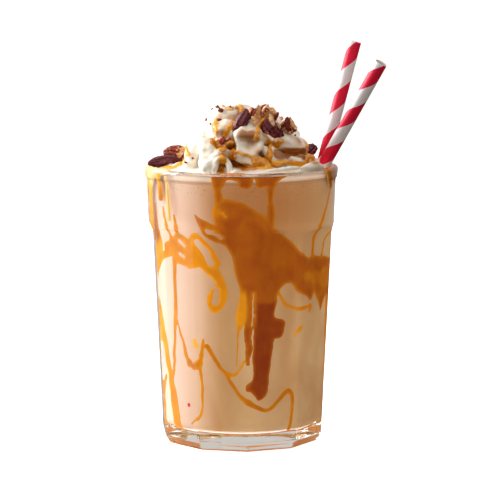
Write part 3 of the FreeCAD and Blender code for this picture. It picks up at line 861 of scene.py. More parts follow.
def buildCream():
    # everything joined, melted together on a fine lattice, then given a soft uneven skin
    c = creamShape
    parts = [creamBody(), creamSwirl()] + skirtDollops()
    parts += [foldParts(path, half, flat, 0.03, *cup) for path, half, flat, *cup in creamFolds.values()]
    rough = addObject("creamRough", makeMesh("creamRough", *joinParts(parts)))
    melt = rough.modifiers.new("melt", "REMESH")
    melt.mode = "VOXEL"
    melt.voxel_size = c["voxel"] * mm
    soften = rough.modifiers.new("soften", "SMOOTH")
    soften.factor, soften.iterations = 0.5, 3
    bpy.context.view_layer.update()
    mesh = bpy.data.meshes.new_from_object(rough.evaluated_get(bpy.context.evaluated_depsgraph_get()))
    mesh.name = "whippedCream"
    bpy.data.objects.remove(rough)
    points = readVectors(mesh.vertices, "co") / mm
    ridged = 1 - 2 * np.abs(valueNoise(points * [1.0, 1.0, 1.5], 4.2, 23))
    skin = c["fine"] * (valueNoise(points, 2.6, 21) + 0.5 * valueNoise(points, 1.2, 22) + 1.1 * ridged)
    crumple = 1 - 2 * np.abs(valueNoise(points * [1.0, 1.0, 1.3] + 3.0, 6.5, 24))
    skin += c["crumple"] * crumple * smoothStep(135.5, 139.0, points[:, 2])
    for node, dent in c["dents"].items():       # the cream gives way round a nut
        away = np.linalg.norm(points - sum(corners(node)) / 2, axis=1)
        skin -= dent * (1 - smoothStep(2.5, 6.5, away))
    skin *= smoothStep(129.6, 131.0, points[:, 2])      # smooth where it meets the glass
    points = points + readVectors(mesh.vertex_normals, "vector") * skin[:, None]
    mesh.vertices.foreach_set("co", (points * mm).ravel())
    setSmooth(mesh)
    mesh.update()
    return mesh


def creamMaterial():
    # whipped cream: warm white, faintly yellow in drifts, browned where caramel soaked in and, as painted
    # shade, on shaded fold faces and in hollows; satin with tiny pits
    s = Shader("whippedCreamSkin")
    stain = s.attribute("stain")
    colour = s.ramp(s.noise(120.0, 4.0), (0.3, srgb(250, 238, 218)), (0.7, srgb(255, 249, 238)))
    # the two stain colours are partly soaked caramel and partly painted shade on shaded folds
    colour = s.mix(s.times(stain, 1.3), colour, srgb(204, 158, 104))
    colour = s.mix(s.times(stain, 1.8, -0.8), colour, srgb(150, 92, 40))
    # painted shade: the cream is multiplied towards warm tan in its hollows
    colour = s.mix(s.attribute("paintedHollowShade"), colour, srgb(196, 130, 60), "MULTIPLY")
    pits = s.plus(s.noise(520.0, 3.0), s.times(s.noise(1700.0, 2.0), 0.4))
    s.set(Base_Color=colour, Roughness=0.42, Specular_IOR_Level=0.35, Subsurface_Weight=0.25,
          Subsurface_Radius=(1.0, 0.75, 0.5), Subsurface_Scale=0.0016,
          Normal=s.bump(pits, 0.0001, 0.5))
    return s.owner


creamMesh = buildCream()
addPiece("whippedCream", creamMesh, creamMaterial(), ["whipped_cream"])


fall = np.radians(7.4)          # poured and strewn things are placed along two gently falling lines
fromFront = Vector((0.0, np.cos(fall), -np.sin(fall)))
fromBack = Vector((0.0, -np.cos(fall), -np.sin(fall)))
lineStart = 150          # how far off such a line starts, well clear of the cream
creamFaces = np.empty(len(creamMesh.loops), int)
creamMesh.loops.foreach_get("vertex_index", creamFaces)
creamFaces = creamFaces.reshape(-1, 4)
creamPoints = readVectors(creamMesh.vertices, "co") / mm
creamNormals = readVectors(creamMesh.vertex_normals, "vector")
creamTree = BVHTree.FromPolygons(creamPoints.tolist(), creamFaces.tolist())


def landOn(trees, start, direction):
    # the nearest point, and the way it faces, where a line meets any of the trees; None if it misses
    hits = [tree.ray_cast(start, direction) for tree in trees]
    hits = [hit for hit in hits if hit[0] is not None]
    if not hits:
        return None
    point, facing, _, _ = min(hits, key=lambda hit: hit[3])
    return np.array(point), np.array(facing)


def dropOn(across, height, direction, trees=(creamTree,)):
    # where a line through (across, height) of the upright middle plane lands
    return landOn(trees, Vector((across, 0.0, height)) - direction * lineStart, direction)


# caramel poured over the cream: path of (across, height) as seen from the front, half width, depth
creamPours = {
    "leftTop": ([(-12.0, 152.4), (-12.2, 149), (-11.6, 146)], (0.9, 1.3, 1.1), 0.2),
    "fromHalf": ([(-3.2, 151.6), (-6.4, 146), (-8.5, 142.6)], (1.0, 1.5, 1.0), (0.3, 0.5)),
    "underFront": ([(-12.8, 143.2), (-13.4, 140.6), (-10.6, 137.8), (-7.0, 137.8), (-4.6, 140.2)],
        (0.8, 1.3, 1.5, 1.3, 0.7), 0.45),
    "besideCurl": ([(-5.6, 140.5), (-4.6, 137.4), (-4.2, 134.6), (-3.8, 131.5)], (0.9, 1.1, 1.4, 2.2),
        (0.45, 0.7)),
    "topStreak": ([(-0.9, 159.6), (-0.2, 157), (-0.4, 154.6)], (0.8, 1.1, 0.7), 0.25),
    "topStain": ([(-6.5, 157.2), (-5.0, 157.0)], (0.7, 0.6), -0.1),
    "middleDrip": ([(10.2, 152.5), (9.8, 150.6), (8.2, 148.8), (7.6, 146), (7.1, 142.4)],
        (1.0, 1.5, 0.9, 0.8, 1.4), (0.15, 0.4)),
    "underMiddle": ([(12.2, 142.4), (13.6, 140), (16.4, 139.4), (18.6, 141.8)], (1.1, 1.6, 1.5, 0.8),
        (0.6, 0.4)),
    "run": ([(12.6, 139.6), (13.2, 136.6), (12.6, 133.6), (10.2, 131.4), (6.8, 131.8)],
        (1.0, 1.3, 2.0, 2.6, 2.0), (0.5, 0.35)),
    "rightSide": ([(30.4, 140.6), (31.6, 137.6), (31.4, 134.6), (30.6, 132.4)], (0.8, 1.3, 1.5, 1.2),
        (0.3, 0.5)),
    "frontStrip": ([(3.5, 128.2), (9, 128.6), (13, 129.6), (17, 130.8), (20.5, 131.6)],
        (0.9, 1.5, 1.5, 1.2, 0.7), 0.18),
    "rightStrip": ([(21.5, 131.6), (25, 130.6), (29, 130.6), (31.5, 131.6)], (0.8, 1.3, 1.3, 0.8), 0.4),
    "hookFill": ([(-8.9, 134.6), (-8.4, 132), (-9.0, 129.4), (-9.6, 126.6)], (1.2, 1.7, 1.6, 1.4),
        (0.25, 0.45)),
    "pool": ([(-4.0, 130.2), (-1.0, 129.2), (3.0, 128.4), (6.0, 128.2)], (2.4, 2.6, 2.0, 1.4), 0.72),
    "petalLine": ([(-3.6, 137), (-0.8, 135.2), (3.0, 134.2), (6.0, 133.4)], (0.5, 0.7, 0.8, 0.7), 0.35),
    "leftEdge": ([(-26.2, 139.6), (-25.6, 137), (-24.4, 134.8)], (0.7, 1.2, 1.2), (0.0, 0.35)),
    "leftLow": ([(-35.5, 129.6), (-32, 129.2), (-28.8, 130.8), (-26.5, 131.8)], (1.6, 1.9, 1.5, 0.9), 0.1),
    "rightCrease": ([(17.5, 137.4), (22.5, 136.4), (27.5, 137)], (0.3, 0.5, 0.3), 0.9),
}
# the same pours turn up on the far side, mirrored and moved
farPours = [("fromHalf", 4, -1), ("underFront", -2, -2), ("middleDrip", 3, 0), ("run", 0, -1),
            ("rightSide", 2, 0), ("pool", 8, 0), ("leftTop", 1, 1), ("underMiddle", -30, 0),
            ("frontStrip", -34, 0), ("besideCurl", 16, 1)]
# where caramel has soaked in and browned the cream, and painted shade on the shaded faces of folds (the low
# fold under the right fold, the petal, the right side): path, reach and strength
soakAndShade = [
    ([(17, 135.8), (23, 135.2), (29.5, 135.2)], 4.4, 2.2),
    ([(2.5, 144), (4.5, 141), (6.5, 137)], 6.8, 0.95),
    ([(-2.5, 137.5), (1, 135), (6, 134)], 2.6, 0.8),
    ([(17, 143.5), (23, 142), (28, 141)], 4.4, 0.42),
    ([(10, 141), (13, 137), (16.5, 134)], 3.6, 0.5),
    ([(7.5, 150), (10, 147), (11, 144)], 3.0, 0.55),
    ([(-17.2, 147.5), (-17.4, 142), (-16.6, 137.5)], 1.6, 0.34),
    ([(-12, 143.5), (-7, 141), (-4, 139)], 2.2, 0.6),
    ([(-36, 130.2), (-30, 130.6), (-26, 131.4)], 2.6, 0.4),
    ([(-10.5, 154.5), (-9, 152)], 1.8, 0.3),
]
pourShape = {"thick": 0.55, "round": 1.4, "dip": 0.35, "keep": 0.315, "join": 0.9, "wobble": 0.35}


def pourPath(path, direction):
    hits = [dropOn(across, height, direction) for across, height in smoothPath(path, len(path) * 4)]
    return np.array([hit[0] for hit in hits if hit is not None])


def buildPours():
    # the cream's own skin, lifted where it is near a pour: an edge is where the lift meets the skin
    p = pourShape
    wobble = np.stack([p["wobble"] * valueNoise(creamPoints, 2.6, seed) for seed in (31, 32, 33)], -1)
    field = SauceField(creamPoints + wobble, p["join"])
    jobs = [(pour, (0, 0), fromFront) for pour in creamPours.values()]
    jobs += [(creamPours[name], (shift, rise), fromBack) for name, shift, rise in farPours]
    for (path, half, depth), shift, direction in jobs:
        line = pourPath(np.array(path) + shift, direction)
        if len(line) > 3:
            field.run(line, half, depth)
    level, depth = field.result()
    lift = crown(level, p)
    top = creamPoints + creamNormals * (lift - 0.02)[:, None]
    bottom = creamPoints - creamNormals * (p["dip"] + 0.2)
    return layerMesh("caramelOnCream", p, top, bottom, creamFaces, lift, level, depth), level


def creamShade(pourLevel):
    # painted shade where the skin is hollow (its neighbourhood lies above it), and how much caramel soaked
    # in, with painted shade on the shaded faces of folds added to that
    count = len(creamPoints)
    edges = np.vstack([creamFaces[:, [0, 1]], creamFaces[:, [1, 2]]])
    soft = creamPoints.copy()
    degree = np.bincount(edges.ravel(), minlength=count)[:, None]
    for _ in range(10):
        total = np.stack([np.bincount(edges[:, 0], soft[edges[:, 1], k], count)
                          + np.bincount(edges[:, 1], soft[edges[:, 0], k], count) for k in range(3)], -1)
        soft = total / np.maximum(degree, 1)
    # painted shade in the creases, as deep as the smoothed skin lies above the real one
    rise = ((soft - creamPoints) * creamNormals).sum(1)
    setAttribute(creamMesh, "paintedHollowShade", 0.75 * smoothStep(0.05, 0.75, rise))
    stain = smoothStep(-3.5, 0.2, pourLevel) * 0.6
    # each soakAndShade stroke is partly soaked caramel and partly painted shade on a shaded fold face
    for path, reach, strength in soakAndShade:
        line = pourPath(path, fromFront)
        for start in range(0, count, 20000):        # in slices, to spare memory
            part = slice(start, start + 20000)
            away, _ = pathDistance(creamPoints[part], line)
            touch = strength * (1 - smoothStep(0.3 * reach, reach, away))
            stain[part] = np.maximum(stain[part], touch)
    patchy = 0.78 + 0.85 * valueNoise(creamPoints, 4.5, 77)
    setAttribute(creamMesh, "stain", np.clip(stain * patchy, 0, 1))


wetCaramel = caramelMaterial("caramelWet", False)
pourMesh, pourLevel = buildPours()
creamShade(pourLevel)
addPiece("caramelOnCream", pourMesh, wetCaramel)


# caramel on the outside of the rim: patches and runs as on the wall, but the second number is the
# way down from the top of the rim
rimSauce = {
    "grid": 0.4, "spread": 44.6, "inside": 2.4, "down": 40.0, "thick": 0.45, "round": 2.4,
    "join": 1.4, "wobble": 0.4, "uneven": 0.25, "dip": 0.12, "keep": 0.11, "behind": 0.2,
    "shapes": [
        ([(-116, 0), (-108, 4), (-101, 8.5), (-95, 6.5), (-89, 9), (-82, 11), (-75, 8.5), (-70, 9.5),
            (-64, 5), (-58, 3.4), (-50, 1.6), (-50, -1.4), (-60, -2.4), (-80, -2.4), (-100, -2.4),
            (-114, -1.6)], -0.22),
        ([(60, -2.2), (61, 1.4), (64, 5.2), (68, 7.6), (72, 8.6), (76, 7.2), (81, 8.4), (87, 5), (93, 3),
            (97, -1), (90, -2.4), (75, -2.4)], 0.42),
        ([(-12, -2), (-12.5, 0.2), (-7, 1.2), (0, 0.8), (3, -1), (-4, -2)], 0.6),
        ([(-76, 3), (-74.5, 14), (-73.5, 24), (-73.3, 32.5)], (4.4, 2.8, 2.7, 3.4), (-0.1, 0.45)),
        ([(-60, 1), (-59, 6), (-58.3, 13.4)], (1.5, 1.0, 1.8), (-0.1, 0.5)),
        ([(-51, 5), (-50.4, 12), (-49.8, 24)], (0.5, 0.8, 0.6), -0.2),
        ([(-90, 4), (-91, 16), (-92, 28)], (2.2, 1.8, 2.3), (-0.2, 0.2)),
        ([(-107, 3), (-107, 12), (-106, 21)], (1.6, 1.3, 1.9), (-0.1, 0.3)),
        ([(68, 2), (69.5, 7), (70, 9.6)], (2.6, 2.3, 1.6), 0.5),
        ([(80, 2), (80.5, 7.4)], (2.4, 1.6), 0.4),
        ([(148, -2), (149, 8), (150, 24)], (3.2, 1.7, 2.4), (0.2, 0.45)),
        ([(160, -2), (160, 8), (161, 13)], (2.2, 1.4, 1.9), 0.35),
        ([(205, -2), (206, 9), (206, 33)], (3.0, 1.8, 2.6), (0.1, 0.4)),
        ([(222, -2), (222, 6), (223, 11)], (2.4, 1.5, 2.0), 0.25),
    ],
}


def rimProfile():
    # (radius, height) from inside the lip, over it and down the outside, evenly spaced
    inner = float(innerRadius(np.array(rimHeight - 2.0)))
    neck = glassShape["neckRadius"]
    line = np.vstack([
        [(inner, rimHeight - 3.2), (inner + 0.05, rimHeight - 2.0)],
        beadArc("lip", 172, 90, 12), beadArc("top", 90, 0, 14),
        [(beadRadius, beadFoot + 1.0)],
        beadArc("under", 0, -60, 6),
        [(neck, beadFoot - 0.4), (neck - 2.0, 90.0)],
    ])
    gone = np.r_[0, np.cumsum(np.linalg.norm(np.diff(line, axis=0), axis=1))]
    top = gone[np.argmax(line[:, 1])]
    way = np.arange(-rimSauce["inside"], rimSauce["down"], rimSauce["grid"])
    return way, np.stack([np.interp(way + top, gone, line[:, k]) for k in (0, 1)], -1)


def buildRimSauce():
    # the same layer over the bead and down the panels, lifted straight out from the surface
    r = rimSauce
    way, profile = rimProfile()
    columns = int(2 * np.pi * r["spread"] / r["grid"])
    angles, ways = np.meshgrid(np.linspace(-np.pi, np.pi, columns, endpoint=False), way)
    around = angles.ravel()
    flat = np.stack([around * r["spread"], ways.ravel()], -1)
    onPlane = np.c_[flat, 0 * flat[:, 0]]
    wobble = np.stack([r["wobble"] * valueNoise(onPlane, 3.6, seed) for seed in (41, 42)], -1)
    field = SauceField(flat + wobble, r["join"])
    for shape in r["shapes"]:
        addRound(field, shape, r["spread"])
    level, depth = field.result()
    height = np.repeat(profile[:, 1], columns)
    under = beadFoot - 0.4
    radius = np.where(height < under, outerRadius(around, np.minimum(height, under)),
                      np.repeat(profile[:, 0], columns))
    slope = np.gradient(profile, axis=0)
    slope /= np.linalg.norm(slope, axis=1)[:, None]
    outward, upward = np.repeat(-slope[:, 1], columns), np.repeat(slope[:, 0], columns)
    lift = crown(level, r, 1 + r["uneven"] * valueNoise(onPlane, 4.0, 43))
    top = ring(around, radius + outward * lift, height + upward * lift)
    bottom = ring(around, radius - outward * r["behind"], height - upward * r["behind"])
    quads = gridQuads(len(way), columns)[:, ::-1]         # reversed, because the grid runs downwards
    return layerMesh("caramelOnRim", r, top, bottom, quads, lift, level, depth)


addPiece("caramelOnRim", buildRimSauce(), wetCaramel)


# pecans: size along, across and deep; lean, spin and roll; the share kept of a broken one; tone from
# dark plum (0) to red-brown (1); how much pale flesh shows
nuts = {
    "pecan_rim_low": ((15.5, 5.6, 4.6), (7, 8, -40), 1.0, 0.05, 0.0),
    "pecan_rim_high": ((15.0, 7.6, 6.0), (-4, -10, -20), 0.75, 0.65, 0.42),
    "pecan_half": ((15.5, 8.6, 6.2), (62, 22, 62), 1.0, 0.12, 0.0),
    "pecan_piece_back": ((15.5, 6.6, 6.0), (72, 10, -30), 0.75, 0.8, 0.5),
    "pecan_piece_top": ((13.0, 8.0, 6.0), (52, -10, 20), 0.62, 0.7, 0.8),
    "pecan_piece_middle": ((16.0, 9.4, 7.4), (-58, 12, -10), 0.8, 0.1, 0.04),
    "pecan_shard": ((15.0, 7.4, 5.2), (34, -24, 30), 0.66, 0.5, 0.72),
    "pecan_front": ((8.6, 5.4, 4.8), (64, 5, 0), 0.75, 0.9, 0.25),
    "pecan_side": ((8.6, 5.6, 5.0), (40, 20, 0), 0.8, 0.0, 0.0),
}
nutShape = {"rows": 60, "around": 72, "ridge": 0.085, "groove": 0.34, "keel": 0.25, "wrinkle": 0.02,
            "seat": 0.55, "deep": 0.62, "ragged": 1.3, "breakRings": (0.88, 0.7, 0.5, 0.3, 0.12)}


def buildNut(node, seed):
    # rings along a kernel: round ends, three ridges each side of a groove on the back, a flatter
    # front with a keel, and a rough face where it is broken
    n = nutShape
    (length, width, depth), turned, kept, tone, pale = nuts[node]
    broken = kept < 1
    along = kept * (np.arange(1, n["rows"] + 1) / (n["rows"] + (0 if broken else 1)))[:, None]
    turn = np.linspace(0, 2 * np.pi, n["around"], endpoint=False)[None, :]
    up, across = np.sin(turn), np.cos(turn)
    swell = np.sin(np.pi * np.clip(along, 0, 0.97 if broken else 1)) ** 0.5
    ridge = 1 + n["ridge"] * np.cos(6 * turn + np.pi + 0.5 * np.sin(9 * along)) * smoothStep(0, 0.2, along) \
        + n["wrinkle"] * (np.sin(7 * np.pi * along + turn) + np.sin(17 * along * np.pi + 3 * turn))
    groove = n["groove"] * np.exp(-(across / 0.2) ** 2) * (up > 0)
    keel = n["keel"] * np.exp(-(across / 0.16) ** 2) * (up < 0)
    flat = np.where(up < 0, n["seat"], 1.0)
    points = np.stack([
        length * (along - 0.5) + 0 * turn,
        -width / 2 * swell * across * ridge,
        depth * n["deep"] * swell * up * flat * (ridge - groove + keel)], -1)
    bare = np.zeros(points.shape[:2])
    if broken:
        end = points[-1]
        middle = end.mean(0)
        rough = [middle + (end - middle) * part for part in n["breakRings"]]
        points = np.concatenate([points, rough])
        bare = np.concatenate([bare, np.ones((len(rough), n["around"]))])
        near = smoothStep(length * (kept - 0.62), length * (kept - 0.5), points[..., 0])
        torn = valueNoise(points.reshape(-1, 3) * [0.3, 1, 1], 1.5, seed).reshape(near.shape)
        points[..., 0] += near * torn * n["ragged"]
    flatPoints = points.reshape(-1, 3)
    stretched = flatPoints * [0.45, 1, 1]
    skin = 0.07 * valueNoise(stretched, 1.3, seed + 50) + 0.04 * valueNoise(stretched, 0.6, seed + 51)
    flatPoints = flatPoints * (1 + skin[:, None] * [0.0, 0.35, 0.35])
    chipped = smoothStep(0.55 - 1.1 * pale, 0.75 - 1.1 * pale,
                         valueNoise(flatPoints, 2.4, seed + 52) * 0.6
                         + 0.4 * valueNoise(flatPoints, 0.9, seed + 53))
    bare = np.maximum(bare.ravel(), chipped * (pale > 0))
    lean, spin, roll = np.radians(turned)
    spinner = Euler((0, 0, spin)).to_matrix() @ Euler((0, -lean, 0)).to_matrix() \
        @ Euler((np.pi / 2 + roll, 0, 0)).to_matrix()
    flatPoints = flatPoints @ np.array(spinner).T
    flatPoints += (sum(corners(node)) - flatPoints.min(0) - flatPoints.max(0)) / 2
    mesh = makeMesh(node + "Kernel", *closedGrid(flatPoints.reshape(points.shape)))
    bare = np.r_[bare, 0.0, 1.0 if broken else 0.0]
    setAttribute(mesh, "bare", bare)
    setAttribute(mesh, "tone", np.full(len(bare), tone))
    return mesh


def pecanMaterial():
    # glossy thin skin from plum to red-brown with fine veins, whose palest pink tone is partly a paler vein
    # and partly a painted highlight; pale grainy flesh where it is torn
    s = Shader("pecanKernel")
    veinsAndSheen = s.noise(900.0, 4.0, None, 1.2)
    # the last stop of each skin ramp is partly a painted pink highlight
    plum = s.ramp(veinsAndSheen, (0.3, srgb(52, 6, 14)), (0.6, srgb(92, 12, 26)), (0.8, srgb(186, 104, 104)))
    red = s.ramp(veinsAndSheen, (0.3, srgb(112, 30, 8)), (0.6, srgb(166, 62, 22)), (0.8, srgb(208, 122, 66)))
    skin = s.mix(s.attribute("tone"), plum, red)
    flesh = s.ramp(s.noise(700.0, 5.0), (0.3, srgb(196, 132, 80)), (0.5, srgb(230, 176, 120)),
                   (0.72, srgb(250, 216, 172)))
    torn = s.plus(s.attribute("bare"), s.times(s.noise(1400.0, 2.0), 0.3, -0.15))
    colour = s.mix(s.ramp(torn, (0.42, 0), (0.56, 1)), skin, flesh)
    grain = s.plus(veinsAndSheen, s.times(s.noise(2200.0, 3.0), 0.5))
    s.set(Base_Color=colour, Roughness=0.4, Specular_IOR_Level=0.25, Coat_Weight=0.06,
          Coat_Roughness=0.15, Normal=s.bump(grain, 0.00012, 0.6))
    return s.owner


kernel = pecanMaterial()
kernelParts = []
for number, node in enumerate(nuts):
    nutMesh = buildNut(node, 60 + number * 7)
    kernelParts.append((readVectors(nutMesh.vertices, "co") / mm,
                        [list(face.vertices) for face in nutMesh.polygons]))
    addPiece(node + "Kernel", nutMesh, kernel, [node])
kernelPoints, kernelFaces = joinParts(kernelParts)
kernelTree = BVHTree.FromPolygons(kernelPoints.tolist(), kernelFaces)


# chopped pecan: (across, height) seen from the front, size and, in front, the share of pale flesh
crumbs = {
    "flakes": [(12.6, 153.8, 2.6), (16.2, 153.4, 2.8), (19.4, 151.8, 2.8), (22.0, 149.2, 2.4),
               (14.0, 150.9, 2.4), (9.7, 157.6, 2.2), (7.8, 154.8, 2.6), (5.9, 151.4, 2.2),
               (17.2, 148.6, 1.8), (21.6, 146.6, 1.8)],
    "front": [(-9.5, 156.2, 1.25, 0.0), (-10.4, 151.6, 0.95, 0.1), (4.4, 159.4, 0.9, 0.0),
              (-5.2, 158.2, 0.7, 0.3), (-27.2, 131.9, 1.1, 0.4), (-25.6, 131.2, 0.7, 0.2),
              (7.2, 152.6, 2.2, 0.9), (6.0, 149.6, 1.5, 0.8), (16.2, 141.6, 1.4, 0.6),
              (21.5, 147.6, 1.2, 0.7), (-2.5, 157.6, 0.8, 0.5), (9.4, 157.6, 1.4, 0.5),
              (13.0, 158.4, 1.4, 0.2), (18.6, 152.8, 1.3, 0.8), (3.2, 154.6, 1.1, 0.7),
              (-14.5, 149.8, 0.6, 0.4), (25.2, 144.2, 0.7, 0.4), (-22.5, 133.2, 0.6, 0.3)],
    "loose": 26, "reach": 17.0, "flat": 0.3, "seed": 8, "rows": 6, "around": 8,
}


def crumbShape(middle, facing, size, random, flat=1.0):
    # a chipped lump or flake: a small ball whose rings are pulled about at random, sunk a little
    c = crumbs
    tilt = np.pi * np.arange(1, c["rows"]) / c["rows"]
    turn = np.linspace(0, 2 * np.pi, c["around"], endpoint=False)
    ball = np.stack([np.sin(tilt)[:, None] * np.cos(turn), np.sin(tilt)[:, None] * np.sin(turn),
                     np.cos(tilt)[:, None] + 0 * turn], -1)
    ball = ball * random.uniform(0.75, 1.2, ball.shape[:2])[..., None] * random.uniform(0.6, 1.25, 3)
    ball = ball * [1.45 - 0.45 * flat, 0.7 + 0.3 * flat, flat]
    spin = Euler(tuple(random.uniform(0, 6.28, 3))).to_matrix()
    return closedGrid(middle + facing * size * 0.35 + size * ball @ np.array(spin).T)


def buildCrumbs():
    # crumbs in front as listed, loose ones at random further back, and flakes that may lie on a kernel
    c = crumbs
    random = np.random.default_rng(c["seed"])
    places = [(dropOn(across, height, fromFront), size, share) for across, height, size, share in c["front"]]
    for _ in range(c["loose"]):
        away, turn = c["reach"] * random.uniform(0.2, 1) ** 0.7, random.uniform(0, 2 * np.pi)
        start = Vector((away * np.cos(turn) - 1, abs(away * np.sin(turn)) + 1, 200.0))
        size, share = random.uniform(0.45, 1.3), random.uniform(0, 1)
        places.append((landOn([creamTree], start, Vector((0, 0, -1))), size, share))
    parts, bare = [], []
    for hit, size, share in places:
        if hit is not None:
            parts.append(crumbShape(*hit, size, random))
            bare += [share] * len(parts[-1][0])
    for across, height, size in c["flakes"]:
        hit = dropOn(across, height, fromFront, (creamTree, kernelTree))
        if hit is not None:
            parts.append(crumbShape(*hit, size, random, c["flat"]))
            bare += [random.choice([0.3, 0.9, 1.0])] * len(parts[-1][0])
    mesh = makeMesh("choppedPecan", *joinParts(parts))
    setSmooth(mesh, False)
    setAttribute(mesh, "bare", bare)
    setAttribute(mesh, "tone", np.full(len(bare), 0.5))
    return mesh


addPiece("choppedPecan", buildCrumbs(), kernel)


strawShape = {
    "radius": 3.0, "wall": 0.35, "soft": 0.08, "lap": 0.05, "pitch": 21.5, "around": 72, "along": 260,
    "phase": {"straw_front": 0.18, "straw_back": 0.12},
}


def strawEnds(node):
    # the axis's two ends, from the box: the box is the axis's own reach plus the tilted end discs, and
    # both straws lean towards +X and -Y
    low, high = corners(node)
    sign = np.array([1.0, -1.0, 1.0])
    direction = (high - low) * sign
    direction /= np.linalg.norm(direction)
    for _ in range(12):
        disc = strawShape["radius"] * np.sqrt(1 - direction ** 2)
        direction = (high - low - 2 * disc) * sign
        direction /= np.linalg.norm(direction)
    middle = (low + high) / 2
    half = (high - low - 2 * disc) / 2 * sign
    return middle - half, middle + half


def buildStraw(node):
    # a rolled paper tube: radius steps up by one paper thickness along a helical lap
    s = strawShape
    foot, tip = strawEnds(node)
    length = np.linalg.norm(tip - foot)
    axis = (tip - foot) / length
    side = np.cross(axis, [0, 1.0, 0])
    side /= np.linalg.norm(side)
    ahead = np.cross(axis, side)
    turn = np.linspace(0, 2 * np.pi, s["around"], endpoint=False)
    place = np.linspace(0, length, s["along"])
    outside = np.stack([np.full_like(place, s["radius"]), place], -1)
    inside = np.stack([np.full_like(place, s["radius"] - s["wall"]), place[::-1]], -1)
    outside[[0, -1], 0] -= s["soft"]
    inside[[0, -1], 0] += s["soft"]
    profile = np.vstack([outside, inside])
    twist = profile[:, 1:] / s["pitch"] - turn / (2 * np.pi) + s["phase"][node]
    rise = (smoothStep(0.0, 0.05, 2 * twist % 1.0) - 1) * (profile[:, :1] > s["radius"] - s["wall"] / 2)
    radius = (profile[:, :1] + s["lap"] * rise)[..., None]
    points = foot + axis * profile[:, 1:, None] \
        + radius * (np.cos(turn)[:, None] * side + np.sin(turn)[:, None] * ahead)
    faces = gridQuads(len(profile), s["around"], roundRows=True).tolist()
    mesh = makeMesh(node + "Paper", points.reshape(-1, 3), faces)
    setAttribute(mesh, "stripe", np.sin(2 * np.pi * twist).ravel())
    setAttribute(mesh, "inner", np.repeat((np.arange(len(profile)) >= len(outside)) * 1.0, s["around"]))
    return mesh


def strawMaterial():
    # matt coated paper: one red band and one white band in a helix, with fibres and dull print
    s = Shader("stripedPaper")
    fibre = s.noise(2600.0, 3.0)
    edge = s.plus(s.attribute("stripe"), s.times(s.noise(900.0, 2.0), 0.10, -0.05))
    white = s.mix(fibre, srgb(255, 249, 251), srgb(240, 232, 236))
    ink = s.mix(fibre, srgb(248, 18, 66), srgb(228, 12, 54))
    colour = s.mix(s.times(edge, 14.0, 0.5), white, ink)
    colour = s.mix(s.attribute("inner"), colour, srgb(232, 226, 220))
    grain = s.plus(fibre, s.times(s.noise(420.0, 2.0), 0.8))
    s.set(Base_Color=colour, Roughness=0.5, Specular_IOR_Level=0.35,
          Normal=s.bump(grain, 0.00006, 0.5))
    return s.owner


paper = strawMaterial()
for node in strawShape["phase"]:
    addPiece(node + "Paper", buildStraw(node), paper, [node])


studio = {
    "distance": 1350.0, "pitch": 7.41, "aim": (4.02, 0.0, 90.4), "lens": 204.6,
    "room": 0.36, "brightSide": (-0.80, 0.15, 0.58), "dimColour": (0.30, 0.22, 0.14, 1),
    "middleColour": (0.56, 0.48, 0.38, 1), "through": 0.62, "throughColour": (1.0, 0.965, 0.92, 1),
    "window": 0.75, "windowSide": (-0.98, 0.17, 0.08), "ceiling": 0.6, "ceilingSide": (0.1, 0.62, 0.78),
    "box": 4.0, "boxSide": (-0.15, -0.72, 0.68), "floorSize": 6.0, "floorLow": 0.0002, "floorGlow": 0.85,
    "lamps": {          # place and size in metres, power in watts
        "keyLeft": ((-0.85, 0.26, 0.42), 0.62, 17.0), "highFront": ((-0.45, -0.70, 0.80), 0.5, 1.1),
        "topSoft": ((-0.05, 0.15, 0.9), 0.5, 2.0), "fillRight": ((0.30, -0.25, 0.42), 0.2, 0.5)},
    "lampAim": (0, 0, 0.09),
}


def addLamp(name, place, size, power):
    lamp = bpy.data.lights.new(name, "AREA")
    lamp.size = size
    lamp.energy = power
    made = addObject(name, lamp)
    made.location = place
    made.rotation_euler = (Vector(studio["lampAim"]) - Vector(place)).to_track_quat("-Z", "Y").to_euler()


def buildFloor():
    # a plain pale floor that reflections and bounced light leave out
    size, low = studio["floorSize"], -studio["floorLow"]
    mesh = bpy.data.meshes.new("floor")
    mesh.from_pydata([(-size, -size, low), (size, -size, low), (size, size, low), (-size, size, low)],
                     [], [(0, 1, 2, 3)])
    floor = addObject("floor", mesh)
    floor.visible_glossy = floor.visible_diffuse = False
    s = Shader("paleFloor")
    s.set(Base_Color=srgb(252, 251, 249), Roughness=0.7, Specular_IOR_Level=0.1,
          Emission_Color=(1, 1, 1, 1), Emission_Strength=studio["floorGlow"])
    mesh.materials.append(s.owner)


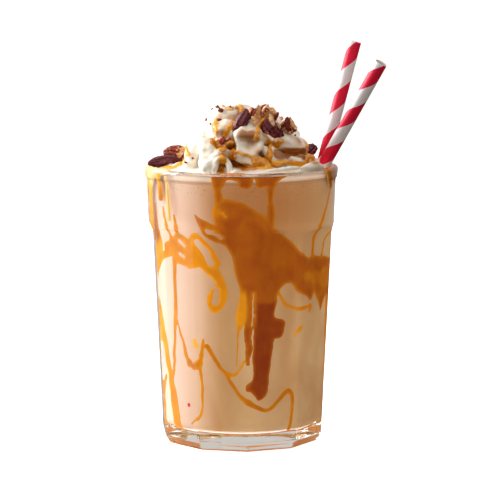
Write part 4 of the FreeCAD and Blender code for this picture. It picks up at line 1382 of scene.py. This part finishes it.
def buildRoom():
    # light from all round: bright on the lit side, dim and warm away from it. A first reflection sees
    # a darker room with a tall window on the left, a pale ceiling and back, and a soft box in front
    s = Shader("softRoom", "worlds")
    bpy.context.scene.world = s.owner
    rays = s.node("ShaderNodeLightPath").outputs
    along = s.node("ShaderNodeTexCoord").outputs["Generated"]

    def shine(colour, strength):
        return s.node("ShaderNodeBackground", Color=colour, Strength=strength).outputs[0]

    def towards(direction, strength, *stops):
        # light by how far a ray points along a direction, from -1 to 1
        dot = s.node("ShaderNodeVectorMath", (along, direction), {"operation": "DOT_PRODUCT"})
        share = s.times(dot.outputs["Value"], 0.5, 0.5)
        return shine(s.ramp(share, *[((far + 1) / 2, tone) for far, tone in stops]), strength)

    def either(share, first, second):
        return s.node("ShaderNodeMixShader", (share, first, second)).outputs[0]

    def both(first, second):
        return s.node("ShaderNodeAddShader", (first, second)).outputs[0]

    t = studio
    diffuse = towards(t["brightSide"], t["room"], (-1, t["dimColour"]), (-0.1, t["middleColour"]), (1, 1))
    window = towards(t["windowSide"], t["window"], (0.60, 0), (0.70, 1))
    ceiling = towards(t["ceilingSide"], t["ceiling"], (0.28, 0.03), (0.62, 1))
    softBox = towards(t["boxSide"], t["box"], (0.86, 0), (0.93, 1))
    outside = s.maths("LESS_THAN", rays["Transmission Depth"], 0.5)
    mirrored = s.maths("MULTIPLY", rays["Is Glossy Ray"], outside)
    seen = either(outside, shine(t["throughColour"], t["through"]), diffuse)
    seen = either(mirrored, seen, both(both(window, ceiling), softBox))
    seen = either(rays["Is Camera Ray"], seen, shine((1, 1, 1, 1), 1.0))
    s.feed(s.tree.nodes["World Output"], "Surface", seen)


def buildStudio():
    scene = bpy.context.scene
    scene.view_settings.view_transform = "Standard"
    buildFloor()
    buildRoom()
    for name, (place, size, power) in studio["lamps"].items():
        addLamp(name, place, size, power)
    pitch = np.radians(studio["pitch"])
    camera = bpy.data.cameras.new("view")
    camera.lens = studio["lens"]
    camera.sensor_width = 36.0
    camera.clip_end = 50
    made = addObject("view", camera)
    away = studio["distance"] * np.array([0, -np.cos(pitch), np.sin(pitch)])
    made.location = (np.array(studio["aim"]) + away) * mm
    made.rotation_euler = Euler((np.pi / 2 - pitch, 0, 0))
    scene.camera = made


buildStudio()
print("studio done")
